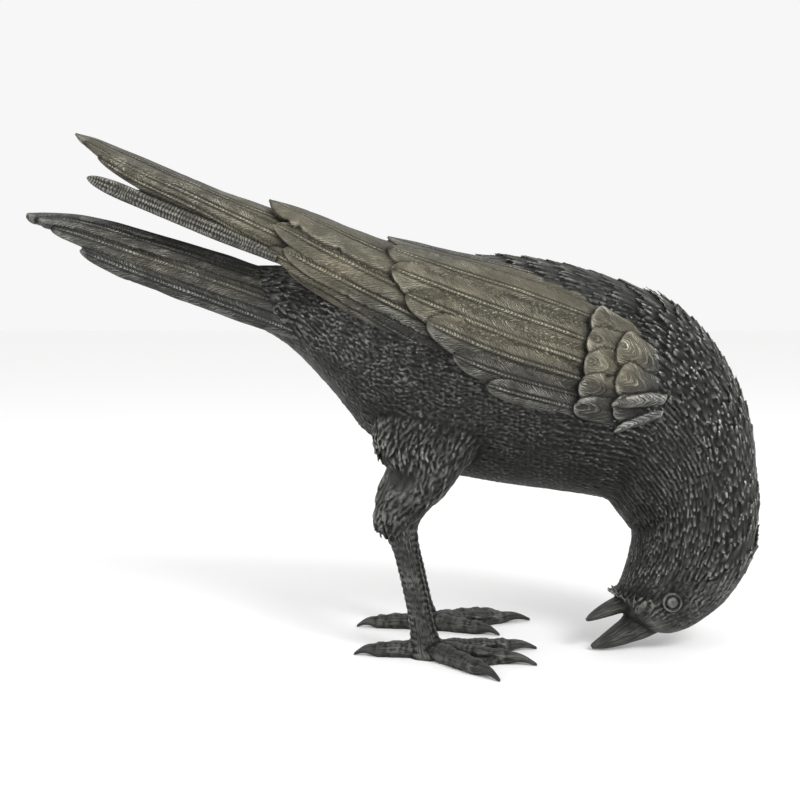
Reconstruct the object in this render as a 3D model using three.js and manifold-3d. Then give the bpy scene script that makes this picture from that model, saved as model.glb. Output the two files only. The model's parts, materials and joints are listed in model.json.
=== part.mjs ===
// Raven that bends down to feed, with its bill open: one bronze casting.
// Millimetres, +Z up, ground at z = 0. The bird faces +X and its right side is towards -Y.
// Body, legs, toes and bill are lofted through sections. Each large feather is a thin curved
// blade laid on a smooth tube, and that tube stands for the folded wing or the tail.
import * as THREE from "three";
import { LoftGeometry } from "three/addons/geometries/LoftGeometry.js";
import { mergeVertices } from "three/addons/utils/BufferGeometryUtils.js";
import Module from "manifold-3d";

const wasm = await Module();
wasm.setup();

// Driving dimensions
const RIGHT_FOOT = -40; // the feet's distances from the bird's middle plane
const LEFT_FOOT = 30;
const HIP_SPREAD = 0.8; // share of that distance at which a thigh leaves the body
const WING_SLOPE = 24.5; // degrees that a folded wing rises towards its tip
const TAIL_SLOPE = 19; // degrees that the tail rises towards its tip
const BLADE_THICKNESS = 4.5; // free feathers, past the rump
const ROOTED_THICKNESS = 14; // feathers on the body reach into it this far
const TAIL_THICKNESS = 7;
const SHAFT_RIDGE = 0.8; // a feather's shaft above its vanes
const VANE_DROOP = 1; // a feather's edges below its middle
const TUFT_RISE = 2.2; // tips of the body's tufts above its sections
const TUFT_GROOVE = 0.8; // furrows between them below its sections

// Where the origin is: on the ground, below the middle of the whole outline
const OUTLINE_MIDDLE = { x: -4.8, y: -12.9 };

// Points around a section, and sections along a loft
const BODY_SIDES = 28;
const BODY_STATIONS = 36;
const LEG_SIDES = 8;
const LEG_STATIONS = 16;
const TOE_SIDES = 6;
const TOE_STATIONS = 10;
const BILL_SIDES = 8;
const BILL_STATIONS = 6;
const EYE_SIDES = 8;

// A tuft is two of the body's sides wide and this many of its stations long. The face and the
// end under the tail are smooth, from and to these shares of the body's length.
const TUFT_STATIONS = 3;
const TUFTS_FROM = 0.06;
const TUFTS_TO = 0.86;
const TUFTS_FADE = 0.06;

// Body, from under the tail over the back to the face: the section's centre x, y and z, lean
// of its up direction from +Z towards +X in degrees, half height and half width. The head is
// turned a little to the bird's right.
const BODY = [
  [-132, 0, 226, 19, 4, 8],
  [-98, 0, 221, 19, 15.5, 15],
  [-62.5, 0, 211.5, 18, 25.5, 28],
  [-34.4, 0, 200, 17, 38.5, 43],
  [0, 0, 184, 16, 57, 51],
  [37.5, 0, 175.6, 14, 67.6, 54],
  [75, 0, 170, 12, 70, 54],
  [112.5, 0, 162.5, 13, 67.9, 52],
  [146.9, 0, 152, 17, 64, 49.5],
  [162.5, 0, 138, 24, 62, 47],
  [174.4, 0, 121, 32.5, 57, 44],
  [181.3, -1, 105, 43.5, 50.5, 40.5],
  [183.5, -3, 85, 60, 43.5, 36],
  [182.5, -6, 66, 76, 40, 31.5],
  [177.5, -10, 48, 88, 37.5, 27.5],
  [168.5, -14, 34, 96, 33.5, 23.5],
  [158, -18, 26, 107, 28.5, 18.5],
  [151, -21, 20.5, 123, 19, 13],
  [146, -23, 17, 130, 8, 6],
];

// Upper and lower bill from the face to the tip, in the same form
const UPPER_BILL = [
  [158, -18, 24, 130, 14, 11],
  [147, -20.5, 16, 146, 10.4, 9.4],
  [140.3, -22, 12, 152, 8.2, 7.4],
  [131.7, -23.5, 7.8, 153, 6.2, 5.6],
  [123.2, -24.7, 4.2, 153, 3.7, 3.6],
  [117.2, -25.5, 2.2, 153, 1.4, 1.5],
];
const LOWER_BILL = [
  [152, -20, 31, 140, 8, 9.5],
  [140.5, -22, 29.5, 150, 6, 7.6],
  [132, -23.5, 27, 152, 5.2, 6],
  [124, -25, 24, 154, 4, 4.6],
  [117, -26, 20.8, 156, 2.4, 2.8],
  [113.6, -26.5, 19, 156, 0.9, 1.1],
];

// Leg from inside the body down to the foot: centre x and z, half length, half width
const LEG = [
  [30, 168, 22, 5],
  [26, 149, 36, 12],
  [18, 130, 33, 16.5],
  [15, 112, 22.5, 16],
  [8, 99, 19.5, 14.5],
  [1.5, 89, 16, 12.5],
  [-1, 81, 12.8, 10.5],
  [1.2, 72, 9.4, 8.4],
  [3.6, 63, 7.4, 6.6],
  [6, 52, 6.9, 6],
  [8.6, 41, 6.9, 5.8],
  [11.2, 29, 6.9, 5.8],
  [13.4, 18, 7.4, 6.2],
  [15.4, 10, 9.2, 7.6],
  [18, 3, 12.5, 11],
  [18.5, -2, 12, 10.5],
];
const TOES_MEET_AT = 18.5;

// Toe: its height, the share of its length at which the claw begins, its pads and how far they
// swell, what it loses to the claw, the claw's root and what that loses to its tip as shares of
// the radius, the middle line's height and the half width in radii, and the rise of the claw
const TOE = {
  height: 12.5,
  clawFrom: 0.7,
  pads: 3,
  swell: 0.1,
  taper: 0.32,
  clawRoot: 0.66,
  clawTaper: 0.8,
  middle: 0.75,
  breadth: 1.15,
  clawRise: 2,
};

// Toes of one foot: heading in degrees from +X towards +Y, and length to the claw's tip
const RIGHT_TOES = [
  [-54.5, 64.5],
  [-18, 65],
  [15, 68],
  [175, 46.5],
];
const LEFT_TOES = [
  [-24, 49.5],
  [17, 72],
  [36, 62],
  [176, 47],
];

// Folded wing's tube from the wrist to the tip: distance along it, centre x and z,
// half height, half width
const WING = [
  [0, 199, 133.2, 8, 20],
  [25.7, 177.3, 147, 26.6, 42],
  [60.4, 145.5, 161, 49.5, 54],
  [104.2, 104.3, 175.7, 56, 59],
  [152.7, 58, 190.2, 53.5, 61],
  [202.6, 11.6, 208.7, 42, 59],
  [254, -35.3, 229.7, 31, 51],
  [300.8, -77.4, 250.1, 24, 41],
  [348.4, -120, 271.3, 16.2, 34],
  [389.2, -157, 288.5, 13.3, 29],
  [421.3, -185.1, 304.1, 8.5, 25],
  [435.8, -197.6, 311.5, 4, 22],
];

// Tail's tube from the rump to the tip, in the same form
const TAIL = [
  [0, -50, 194, 28, 25],
  [50, -97.5, 211.5, 26.5, 24],
  [110, -154, 232, 23.5, 24],
  [160, -201, 249.5, 18, 22],
  [195, -232, 260, 8, 14],
];

// Rows of feathers on one wing, from the flank up to the back. Each list is spread evenly over
// the row's feathers. Distances run from the wrist, angles from the top of the back, and lift
// is the height above the tube.
const WING_ROWS = {
  primaries: {
    count: 3,
    root: [185],
    tip: [414, 426, 436],
    rootAngle: [108, 82, 55],
    tipAngle: [106, 74, 40],
    halfWidth: [7.5, 10, 14],
    rootLift: [-6],
    tipLift: [-0.5, 0, 0.5],
  },
  secondaries: {
    count: 5,
    root: [110],
    tip: [284, 300, 290, 301, 312],
    rootAngle: [120, 108, 100, 92, 74],
    tipAngle: [121, 107, 95, 68, 31],
    halfWidth: [10, 10, 10, 12, 20],
    rootLift: [-6],
    tipLift: [-3, -2, -0.5, 0.5, 2.5],
  },
  greaterCoverts: {
    count: 7,
    root: [60, 90],
    tip: [150, 174, 196, 213, 227, 234, 238],
    rootAngle: [116, 108, 98, 88, 74, 58, 34],
    tipAngle: [119, 110, 97, 83, 66, 44, 20],
    halfWidth: [9, 10, 12, 13, 15, 16, 16],
    rootLift: [-4.5],
    tipLift: [0.5, 0.5, 0.8, 1, 1.2, 1, 0.5],
  },
  lesserCoverts: {
    count: 5,
    root: [48, 50, 60, 75],
    tip: [97, 104, 110],
    rootAngle: [113, 60],
    tipAngle: [113, 57],
    halfWidth: [10, 12],
    rootLift: [-4.5],
    tipLift: [1.6, 1.8],
  },
  shoulderCoverts: {
    count: 3,
    root: [42, 54],
    tip: [77, 90],
    rootAngle: [108, 74],
    tipAngle: [106, 68],
    halfWidth: [10, 12],
    rootLift: [-4.5],
    tipLift: [1.8, 2.2],
  },
};
const TAIL_ROW = {
  count: 4,
  root: [0],
  tip: [150, 172, 186, 197],
  rootAngle: [98, 12],
  tipAngle: [98, 12],
  halfWidth: [8, 9.5],
  rootLift: [-2.5, -0.5],
  tipLift: [-1.5, 0.5],
};

// Outermost quill of a folded wing, a straight blade under the others
const FIRST_QUILL = {
  root: { distance: 292, angle: 112, lift: -3 },
  tip: [-189, -19, 288],
  halfWidth: 5,
  halfThickness: 2,
};

// Form of every feather. Places along it are shares of its length, and widths are shares of its
// half width: it widens from its root, is full from there on, and is rounded to its tip.
// Feathers below the short length have fewer stations.
const FEATHER = {
  rootWidth: 0.7,
  fullFrom: 0.35,
  roundFrom: 0.8,
  tipWidth: 0.17,
  stations: [0, 0.34, 0.62, 0.82, 0.94, 1],
  shortStations: [0, 0.45, 0.84, 1],
  shortLength: 70,
  top: [-1, 0, 1],
  underside: [0.75, -0.75],
};

// Distances from the wrist between which the wing's feathers come free of the body
const FREE_FROM = 185;
const FREE_AT = 240;

// Metal between two front toes: from and to which share of their length it joins them, and its
// height beside the toes and halfway between them
const WEB = { shares: [0.12, 0.45, 0.72], height: 6.2, middle: 4.2 };

// Eyes: the middle between them, their distance from it, the radii of ball and ring, how far
// these two stand proud, and the depth that they reach into the head
const EYE = {
  x: 164,
  y: -15.5,
  z: 32.5,
  side: 22,
  ball: 3.9,
  ring: 6.6,
  ballRise: 2.4,
  ringRise: 1.6,
  depth: 4,
};

// Block below the ground that cuts the toes' undersides flat
const BELOW_GROUND = { length: 600, width: 400, depth: 40 };

// Value at u from 0 to 1 between p1 and p2, on a smooth curve that p0 and p3 lie on too
function smoothBetween(p0, p1, p2, p3, u) {
  const [leaving, arriving] = [(p2 - p0) / 2, (p3 - p1) / 2];
  const [u2, u3] = [u * u, u * u * u];
  const ends = (2 * u3 - 3 * u2 + 1) * p1 + (3 * u2 - 2 * u3) * p2;
  return ends + (u3 - 2 * u2 + u) * leaving + (u3 - u2) * arriving;
}

// Values of a table's columns at t from 0 to 1, on smooth curves through its rows
function along(rows, t) {
  const last = rows.length - 1;
  const place = THREE.MathUtils.clamp(t, 0, 1) * last;
  const i = Math.min(Math.floor(place), last - 1);
  return rows[0].map((_, column) => {
    const [p1, p2] = [rows[i][column], rows[i + 1][column]];
    const p0 = i > 0 ? rows[i - 1][column] : 2 * p1 - p2;
    const p3 = i + 2 <= last ? rows[i + 2][column] : 2 * p2 - p1;
    return smoothBetween(p0, p1, p2, p3, place - i);
  });
}

// Position from 0 to 1 at which a table's first column, a distance, has a value
function positionAt(rows, distance) {
  const last = rows.length - 1;
  let i = 0;
  while (i < last - 1 && rows[i + 1][0] < distance) i++;
  return (i + (distance - rows[i][0]) / (rows[i + 1][0] - rows[i][0])) / last;
}

// Closed solid of a geometry, turned outwards if its faces point inwards
function solidOf(geometry) {
  const plain = new THREE.BufferGeometry().copy(geometry);
  plain.deleteAttribute("normal");
  plain.deleteAttribute("uv");
  const merged = mergeVertices(plain, 1e-4);
  const triangles = [];
  for (let i = 0; i < merged.index.count; i += 3) {
    const [a, b, c] = merged.index.array.slice(i, i + 3);
    if (a !== b && b !== c && c !== a) triangles.push([a, b, c]);
  }
  const made = (order) =>
    new wasm.Manifold(
      new wasm.Mesh({
        numProp: 3,
        vertProperties: merged.attributes.position.array,
        triVerts: new Uint32Array(triangles.flatMap(order)),
      }),
    );
  const solid = made(([a, b, c]) => [a, b, c]);
  return solid.volume() > 0 ? solid : made(([a, b, c]) => [a, c, b]);
}

// Solid through sections, closed at each end by a point in the section's middle
function loft(sections) {
  const pole = (section) => {
    const middle = section.reduce((sum, p) => sum.add(p), new THREE.Vector3());
    return section.map(() => middle.clone().divideScalar(section.length));
  };
  return solidOf(new LoftGeometry([pole(sections[0]), ...sections, pole(sections.at(-1))]));
}

// Solid with oval sections through a table's rows. Relief gives the height of a section's point
// above its oval, from the section's number and the point's.
function ovalLoft(rows, count, sides, relief = () => 0) {
  const sections = [];
  for (let i = 0; i <= count; i++) {
    const [x, y, z, lean, halfHeight, halfWidth] = along(rows, i / count);
    const slope = THREE.MathUtils.degToRad(lean);
    const up = new THREE.Vector3(Math.sin(slope), 0, Math.cos(slope));
    sections.push(
      Array.from({ length: sides }, (_, k) => {
        const turn = (2 * Math.PI * k) / sides;
        const height = relief(i, k);
        const centre = new THREE.Vector3(x, y - (halfWidth + height) * Math.sin(turn), z);
        return centre.addScaledVector(up, (halfHeight + height) * Math.cos(turn));
      }),
    );
  }
  return loft(sections);
}

// Height of the body's tufts: each rises along its middle to a tip towards the tail, and the
// tufts of one row fill the gaps of the next
function tuftHeight(station, side) {
  const t = station / BODY_STATIONS;
  const fadeIn = THREE.MathUtils.smoothstep(t, TUFTS_FROM, TUFTS_FROM + TUFTS_FADE);
  const fadeOut = 1 - THREE.MathUtils.smoothstep(t, TUFTS_TO - TUFTS_FADE, TUFTS_TO);
  const shift = side % 4 === 0 ? 0 : TUFT_STATIONS / 2;
  const fromTip = ((station + shift) % TUFT_STATIONS) / TUFT_STATIONS;
  const height = side % 2 === 0 ? TUFT_RISE * (1 - fromTip) : -TUFT_GROOVE;
  return height * fadeIn * fadeOut;
}

// Tube that feathers lie on. It gives the point at a distance along the tube, at an angle
// from its top and at a height above it, and the tube's radius of turning there.
function featherTube(rows, slope) {
  const lean = THREE.MathUtils.degToRad(slope);
  const up = new THREE.Vector3(Math.sin(lean), 0, Math.cos(lean));
  return (distance, angle, height) => {
    const [, x, z, halfHeight, halfWidth] = along(rows, positionAt(rows, distance));
    const turn = THREE.MathUtils.degToRad(angle);
    const [sine, cosine] = [Math.sin(turn), Math.cos(turn)];
    const side = cosine < 0 ? Math.sqrt(Math.max(sine, 0)) : sine;
    const outward = new THREE.Vector2(sine / halfWidth, cosine / halfHeight).normalize();
    const reach = halfWidth * side + outward.x * height;
    const rise = halfHeight * cosine + outward.y * height;
    return {
      point: new THREE.Vector3(x, -reach, z).addScaledVector(up, rise),
      radius: Math.hypot(halfHeight * sine, halfWidth * cosine),
    };
  };
}

const onWing = featherTube(WING, WING_SLOPE);
const onTail = featherTube(TAIL, TAIL_SLOPE);

// Share of a feather's half width along its length: narrow at the root, round at the tip
function featherOutline(t) {
  const { rootWidth, fullFrom, roundFrom, tipWidth } = FEATHER;
  const width = THREE.MathUtils.lerp(rootWidth, 1, THREE.MathUtils.smoothstep(t, 0, fullFrom));
  const nearTip = Math.max(0, (t - roundFrom) / (1 - roundFrom));
  return width * Math.max(tipWidth, Math.sqrt(1 - nearTip * nearTip));
}

// Height of a feather's top over its middle line: a shaft between two falling vanes
const vaneHeight = (share) => (share === 0 ? SHAFT_RIDGE : -VANE_DROOP * share * share);

function feather(tube, f, thicknessAt) {
  const short = f.tip - f.root < FEATHER.shortLength;
  const stations = short ? FEATHER.shortStations : FEATHER.stations;
  const sections = stations.map((t) => {
    const distance = THREE.MathUtils.lerp(f.root, f.tip, t);
    const angle = THREE.MathUtils.lerp(f.rootAngle, f.tipAngle, t);
    const lift = THREE.MathUtils.lerp(f.rootLift, f.tipLift, t);
    const halfAngle = THREE.MathUtils.radToDeg(
      (f.halfWidth * featherOutline(t)) / tube(distance, angle, 0).radius,
    );
    const at = (share, height) => tube(distance, angle + halfAngle * share, height).point;
    return [
      ...FEATHER.top.map((share) => at(share, lift + vaneHeight(share))),
      ...FEATHER.underside.map((share) => at(share, lift - thicknessAt(distance))),
    ];
  });
  return loft(sections);
}

// Value at a share from 0 to 1 of a list of evenly spaced values
function spreadOver(values, share) {
  const place = share * (values.length - 1);
  const i = Math.min(Math.floor(place), Math.max(0, values.length - 2));
  return values.length > 1 ? THREE.MathUtils.lerp(values[i], values[i + 1], place - i) : values[0];
}

function featherRow(tube, { count, ...lists }, thicknessAt) {
  return Array.from({ length: count }, (_, i) => {
    const f = {};
    for (const [name, values] of Object.entries(lists)) f[name] = spreadOver(values, i / (count - 1));
    return feather(tube, f, thicknessAt);
  });
}

function wingThickness(distance) {
  const free = THREE.MathUtils.smoothstep(distance, FREE_FROM, FREE_AT);
  return THREE.MathUtils.lerp(ROOTED_THICKNESS, BLADE_THICKNESS, free);
}

function firstQuill() {
  const { halfWidth, halfThickness } = FIRST_QUILL;
  const { distance, angle, lift } = FIRST_QUILL.root;
  const root = onWing(distance, angle, lift).point;
  const tip = new THREE.Vector3(...FIRST_QUILL.tip);
  const outward = new THREE.Vector3(0, -1, 0);
  const across = new THREE.Vector3().subVectors(tip, root).cross(outward).normalize();
  const sections = FEATHER.stations.map((t) => {
    const centre = new THREE.Vector3().lerpVectors(root, tip, t);
    const reach = halfWidth * featherOutline(t);
    const at = (share, height) =>
      centre.clone().addScaledVector(across, share * reach).addScaledVector(outward, height);
    return [
      ...FEATHER.top.map((share) => at(share, halfThickness + vaneHeight(share))),
      ...FEATHER.underside.map((share) => at(share, -halfThickness)),
    ];
  });
  return loft(sections);
}

function wing() {
  const rows = Object.values(WING_ROWS);
  return [...rows.flatMap((row) => featherRow(onWing, row, wingThickness)), firstQuill()];
}

function tail() {
  return featherRow(onTail, TAIL_ROW, () => TAIL_THICKNESS);
}

function toeDirection(heading) {
  const turn = THREE.MathUtils.degToRad(heading);
  return new THREE.Vector3(Math.cos(turn), Math.sin(turn), 0);
}

// Toe: pads that swell and narrow, then a claw that thins down to the ground
function toe([heading, length], footY) {
  const forward = toeDirection(heading);
  const sideways = toeDirection(heading + 90);
  const foot = new THREE.Vector3(TOES_MEET_AT, footY, 0);
  const sections = [];
  for (let i = 0; i <= TOE_STATIONS; i++) {
    const t = i / TOE_STATIONS;
    const claw = Math.max(0, (t - TOE.clawFrom) / (1 - TOE.clawFrom));
    const pad = 1 + TOE.swell * Math.cos((2 * Math.PI * TOE.pads * t) / TOE.clawFrom);
    const share = claw > 0 ? TOE.clawRoot * (1 - TOE.clawTaper * claw) : pad * (1 - TOE.taper * t);
    const radius = (TOE.height / 2) * share;
    const height = radius * TOE.middle + TOE.clawRise * Math.sin(Math.PI * claw);
    const centre = foot.clone().addScaledVector(forward, t * length);
    sections.push(
      Array.from({ length: TOE_SIDES }, (_, k) => {
        const around = (2 * Math.PI * (k + 0.5)) / TOE_SIDES;
        const reach = radius * TOE.breadth * Math.sin(around);
        return centre
          .clone()
          .addScaledVector(sideways, reach)
          .setZ(height + radius * Math.cos(around));
      }),
    );
  }
  return loft(sections);
}

function web([headingA, lengthA], [headingB, lengthB], footY) {
  const foot = new THREE.Vector3(TOES_MEET_AT, footY, 0);
  const sections = WEB.shares.map((share) => {
    const a = foot.clone().addScaledVector(toeDirection(headingA), share * lengthA);
    const b = foot.clone().addScaledVector(toeDirection(headingB), share * lengthB);
    const middle = foot.clone().lerp(a.clone().lerp(b, 0.5), 1 - share / 4);
    const below = (p) => p.clone().setZ(-1);
    const top = [a.setZ(WEB.height), middle.setZ(WEB.middle), b.setZ(WEB.height)];
    return [...top, ...top.map(below).reverse()];
  });
  return loft(sections);
}

// Front toes are the first three of a foot's table
function foot(toes, footY) {
  const webs = [web(toes[0], toes[1], footY), web(toes[1], toes[2], footY)];
  return [...toes.map((row) => toe(row, footY)), ...webs];
}

function leg(footY) {
  const sections = [];
  for (let i = 0; i <= LEG_STATIONS; i++) {
    const [x, z, halfLength, halfWidth] = along(LEG, i / LEG_STATIONS);
    const spread = THREE.MathUtils.mapLinear(z, 0, LEG[0][1], 1, HIP_SPREAD);
    sections.push(
      Array.from({ length: LEG_SIDES }, (_, k) => {
        const turn = (2 * Math.PI * k) / LEG_SIDES;
        return new THREE.Vector3(
          x + halfLength * Math.cos(turn),
          footY * spread + halfWidth * Math.sin(turn),
          z,
        );
      }),
    );
  }
  return loft(sections);
}

// Eye: a ball in a raised ring, on the side that `side` gives, -1 for the right
function eye(side) {
  const { ball, ring, ballRise, ringRise, depth } = EYE;
  const profile = [
    [0, ballRise],
    [ball * 0.6, ballRise * 0.8],
    [ball, 0],
    [(ball + ring) / 2, ringRise],
    [ring, 0],
    [ring, -depth],
    [0, -depth],
  ];
  const shape = new THREE.LatheGeometry(profile.map((p) => new THREE.Vector2(...p)), EYE_SIDES);
  if (side < 0) shape.rotateX(Math.PI);
  shape.translate(EYE.x, EYE.y + side * EYE.side, EYE.z);
  return solidOf(shape);
}

function belowGround() {
  const { length, width, depth } = BELOW_GROUND;
  return solidOf(new THREE.BoxGeometry(length, width, depth).translate(0, 0, -depth / 2));
}

const joined = (solids) => solids.reduce((sum, solid) => sum.add(solid));

function raven() {
  const rightFeathers = joined([...wing(), ...tail()]);
  const body = joined([
    ovalLoft(BODY, BODY_STATIONS, BODY_SIDES, tuftHeight),
    ovalLoft(UPPER_BILL, BILL_STATIONS, BILL_SIDES),
    ovalLoft(LOWER_BILL, BILL_STATIONS, BILL_SIDES),
    eye(-1),
    eye(1),
    leg(RIGHT_FOOT),
    leg(LEFT_FOOT),
    ...foot(RIGHT_TOES, RIGHT_FOOT),
    ...foot(LEFT_TOES, LEFT_FOOT),
  ]);
  return body.add(rightFeathers).add(mirrored(rightFeathers)).subtract(belowGround());
}

function geometryOf(solid) {
  const { vertProperties, triVerts } = solid.getMesh();
  const geometry = new THREE.BufferGeometry();
  geometry.setAttribute("position", new THREE.BufferAttribute(vertProperties, 3));
  geometry.setIndex(new THREE.BufferAttribute(triVerts, 1));
  return geometry;
}

function mirrored(solid) {
  return solidOf(geometryOf(solid).scale(1, -1, 1));
}

const darkBronze = new THREE.MeshStandardMaterial({
  color: 0x4a4a44,
  roughness: 0.5,
  metalness: 0.75,
});

const geometry = geometryOf(raven());
geometry.translate(-OUTLINE_MIDDLE.x, -OUTLINE_MIDDLE.y, 0);
geometry.computeVertexNormals();

const statue = new THREE.Group();
const casting = new THREE.Mesh(geometry, darkBronze);
casting.name = "raven";
statue.add(casting);

export default statue;
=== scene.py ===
"""Life-size raven in patinated cast bronze, bent down to feed with its bill open.

The wax parts are modelled from the same tables as the solid: body, bill and eyes, legs and feet,
wings, tail. Tufts and leg scales are set on them by Geometry Nodes. The cast then joins the wax
parts into four closed skins, of the body, each wing and the tail, which run into one another as
on one casting, and gives them their patina.
"""

import json
import math

import bpy
import numpy as np
from mathutils import Matrix, Vector
from mathutils.kdtree import KDTree

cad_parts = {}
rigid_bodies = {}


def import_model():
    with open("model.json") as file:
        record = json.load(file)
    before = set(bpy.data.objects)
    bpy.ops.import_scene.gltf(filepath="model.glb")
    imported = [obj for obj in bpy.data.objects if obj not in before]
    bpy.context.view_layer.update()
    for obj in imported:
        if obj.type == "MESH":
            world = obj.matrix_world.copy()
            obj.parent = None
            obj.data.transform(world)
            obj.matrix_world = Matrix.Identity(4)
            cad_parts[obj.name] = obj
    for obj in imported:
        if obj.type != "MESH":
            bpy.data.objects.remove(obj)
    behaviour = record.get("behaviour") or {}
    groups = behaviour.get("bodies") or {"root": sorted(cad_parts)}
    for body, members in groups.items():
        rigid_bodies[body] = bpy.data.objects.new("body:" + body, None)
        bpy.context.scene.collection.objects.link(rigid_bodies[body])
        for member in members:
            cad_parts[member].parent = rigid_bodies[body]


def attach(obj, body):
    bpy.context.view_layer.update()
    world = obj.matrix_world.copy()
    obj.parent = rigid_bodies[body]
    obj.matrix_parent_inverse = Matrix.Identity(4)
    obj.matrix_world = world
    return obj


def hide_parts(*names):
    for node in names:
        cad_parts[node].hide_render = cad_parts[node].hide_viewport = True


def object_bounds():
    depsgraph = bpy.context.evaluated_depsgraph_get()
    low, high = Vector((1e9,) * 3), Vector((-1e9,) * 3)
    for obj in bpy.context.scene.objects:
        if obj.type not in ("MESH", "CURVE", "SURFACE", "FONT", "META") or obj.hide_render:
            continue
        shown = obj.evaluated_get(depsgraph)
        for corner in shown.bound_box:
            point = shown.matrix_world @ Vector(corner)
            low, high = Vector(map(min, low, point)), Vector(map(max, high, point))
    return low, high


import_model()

bl_info = {
    "name": "Bronze Raven",
    "version": (1, 0, 0),
    "blender": (4, 5, 0),
    "location": "View3D > Sidebar > Raven",
    "description": "Models a cast bronze raven in wax parts, casts them as one and patinates it",
    "category": "Add Mesh",
}

CAD_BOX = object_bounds()
MM = 0.001

# Middle of the bird's outline in the tables' own coordinates, in millimetres. The tables keep
# the bird's middle plane at y = 0, and the row's origin is below the middle of its outline.
OUTLINE_MIDDLE = np.array([-4.8, -12.9, 0.0])

# Body, from under the tail over the back to the face: centre x, y, z, lean of the section's up
# direction in degrees, half height and half width
BODY = (
    (-132, 0, 226, 19, 4, 8),
    (-98, 0, 221, 19, 15.5, 15),
    (-62.5, 0, 211.5, 18, 25.5, 28),
    (-34.4, 0, 200, 17, 38.5, 43),
    (0, 0, 184, 16, 57, 51),
    (37.5, 0, 175.6, 14, 67.6, 54),
    (75, 0, 170, 12, 70, 54),
    (112.5, 0, 162.5, 13, 67.9, 52),
    (146.9, 0, 152, 17, 64, 49.5),
    (162.5, 0, 138, 24, 62, 47),
    (174.4, 0, 121, 32.5, 57, 44),
    (181.3, -1, 105, 43.5, 50.5, 40.5),
    (183.5, -3, 85, 60, 43.5, 36),
    (182.5, -6, 66, 76, 40, 31.5),
    (177.5, -10, 48, 88, 37.5, 27.5),
    (168.5, -14, 34, 96, 33.5, 23.5),
    (158, -18, 26, 107, 28.5, 18.5),
    (151, -21, 20.5, 123, 19, 13),
    (146, -23, 17, 130, 8, 6),
)
UPPER_BILL = (
    (158, -18, 24, 130, 14, 11),
    (147, -20.5, 16, 146, 10.4, 9.4),
    (140.3, -22, 12, 152, 8.2, 7.4),
    (131.7, -23.5, 7.8, 153, 6.2, 5.6),
    (123.2, -24.7, 4.2, 153, 3.7, 3.6),
    (117.2, -25.5, 2.2, 153, 1.4, 1.5),
)
LOWER_BILL = (
    (152, -20, 31, 140, 8, 9.5),
    (140.5, -22, 29.5, 150, 6, 7.6),
    (132, -23.5, 27, 152, 5.2, 6),
    (124, -25, 24, 154, 4, 4.6),
    (117, -26, 20.8, 156, 2.4, 2.8),
    (113.6, -26.5, 19, 156, 0.9, 1.1),
)

# Leg from inside the body down to the foot: centre x and z, half length, half width
LEG = (
    (30, 168, 22, 5),
    (26, 149, 36, 12),
    (18, 130, 33, 16.5),
    (15, 112, 22.5, 16),
    (8, 99, 19.5, 14.5),
    (1.5, 89, 16, 12.5),
    (-1, 81, 12.8, 10.5),
    (1.2, 72, 9.4, 8.4),
    (3.6, 63, 7.4, 6.6),
    (6, 52, 6.9, 6),
    (8.6, 41, 6.9, 5.8),
    (11.2, 29, 6.9, 5.8),
    (13.4, 18, 7.4, 6.2),
    (15.4, 10, 9.2, 7.6),
    (18, 3, 12.5, 11),
    (18.5, -2, 12, 10.5),
)
TOES_MEET_AT = 18.5

# One foot: its distance from the middle plane, and its toes' headings in degrees and lengths,
# the three front toes first
FEET = {
    "right": (-40, ((-54.5, 64.5), (-18, 65), (15, 68), (175, 46.5))),
    "left": (30, ((-24, 49.5), (17, 72), (36, 62), (176, 47))),
}
HIP_SPREAD = 0.8

# Tubes that feathers lie on: distance along, centre x and z, half height, half width, and the
# slope in degrees
WING_TUBE = (
    (0, 199, 133.2, 8, 20),
    (25.7, 177.3, 147, 26.6, 42),
    (60.4, 145.5, 161, 49.5, 54),
    (104.2, 104.3, 175.7, 56, 59),
    (152.7, 58, 190.2, 53.5, 61),
    (202.6, 11.6, 208.7, 42, 59),
    (254, -35.3, 229.7, 31, 51),
    (300.8, -77.4, 250.1, 24, 41),
    (348.4, -120, 271.3, 16.2, 34),
    (389.2, -157, 288.5, 13.3, 29),
    (421.3, -185.1, 304.1, 8.5, 25),
    (435.8, -197.6, 311.5, 4, 22),
)
WING_SLOPE = 24.5
TAIL_TUBE = (
    (0, -50, 194, 28, 25),
    (50, -97.5, 211.5, 26.5, 24),
    (110, -154, 232, 23.5, 24),
    (160, -201, 249.5, 18, 22),
    (195, -232, 260, 8, 14),
)
TAIL_SLOPE = 19

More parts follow.
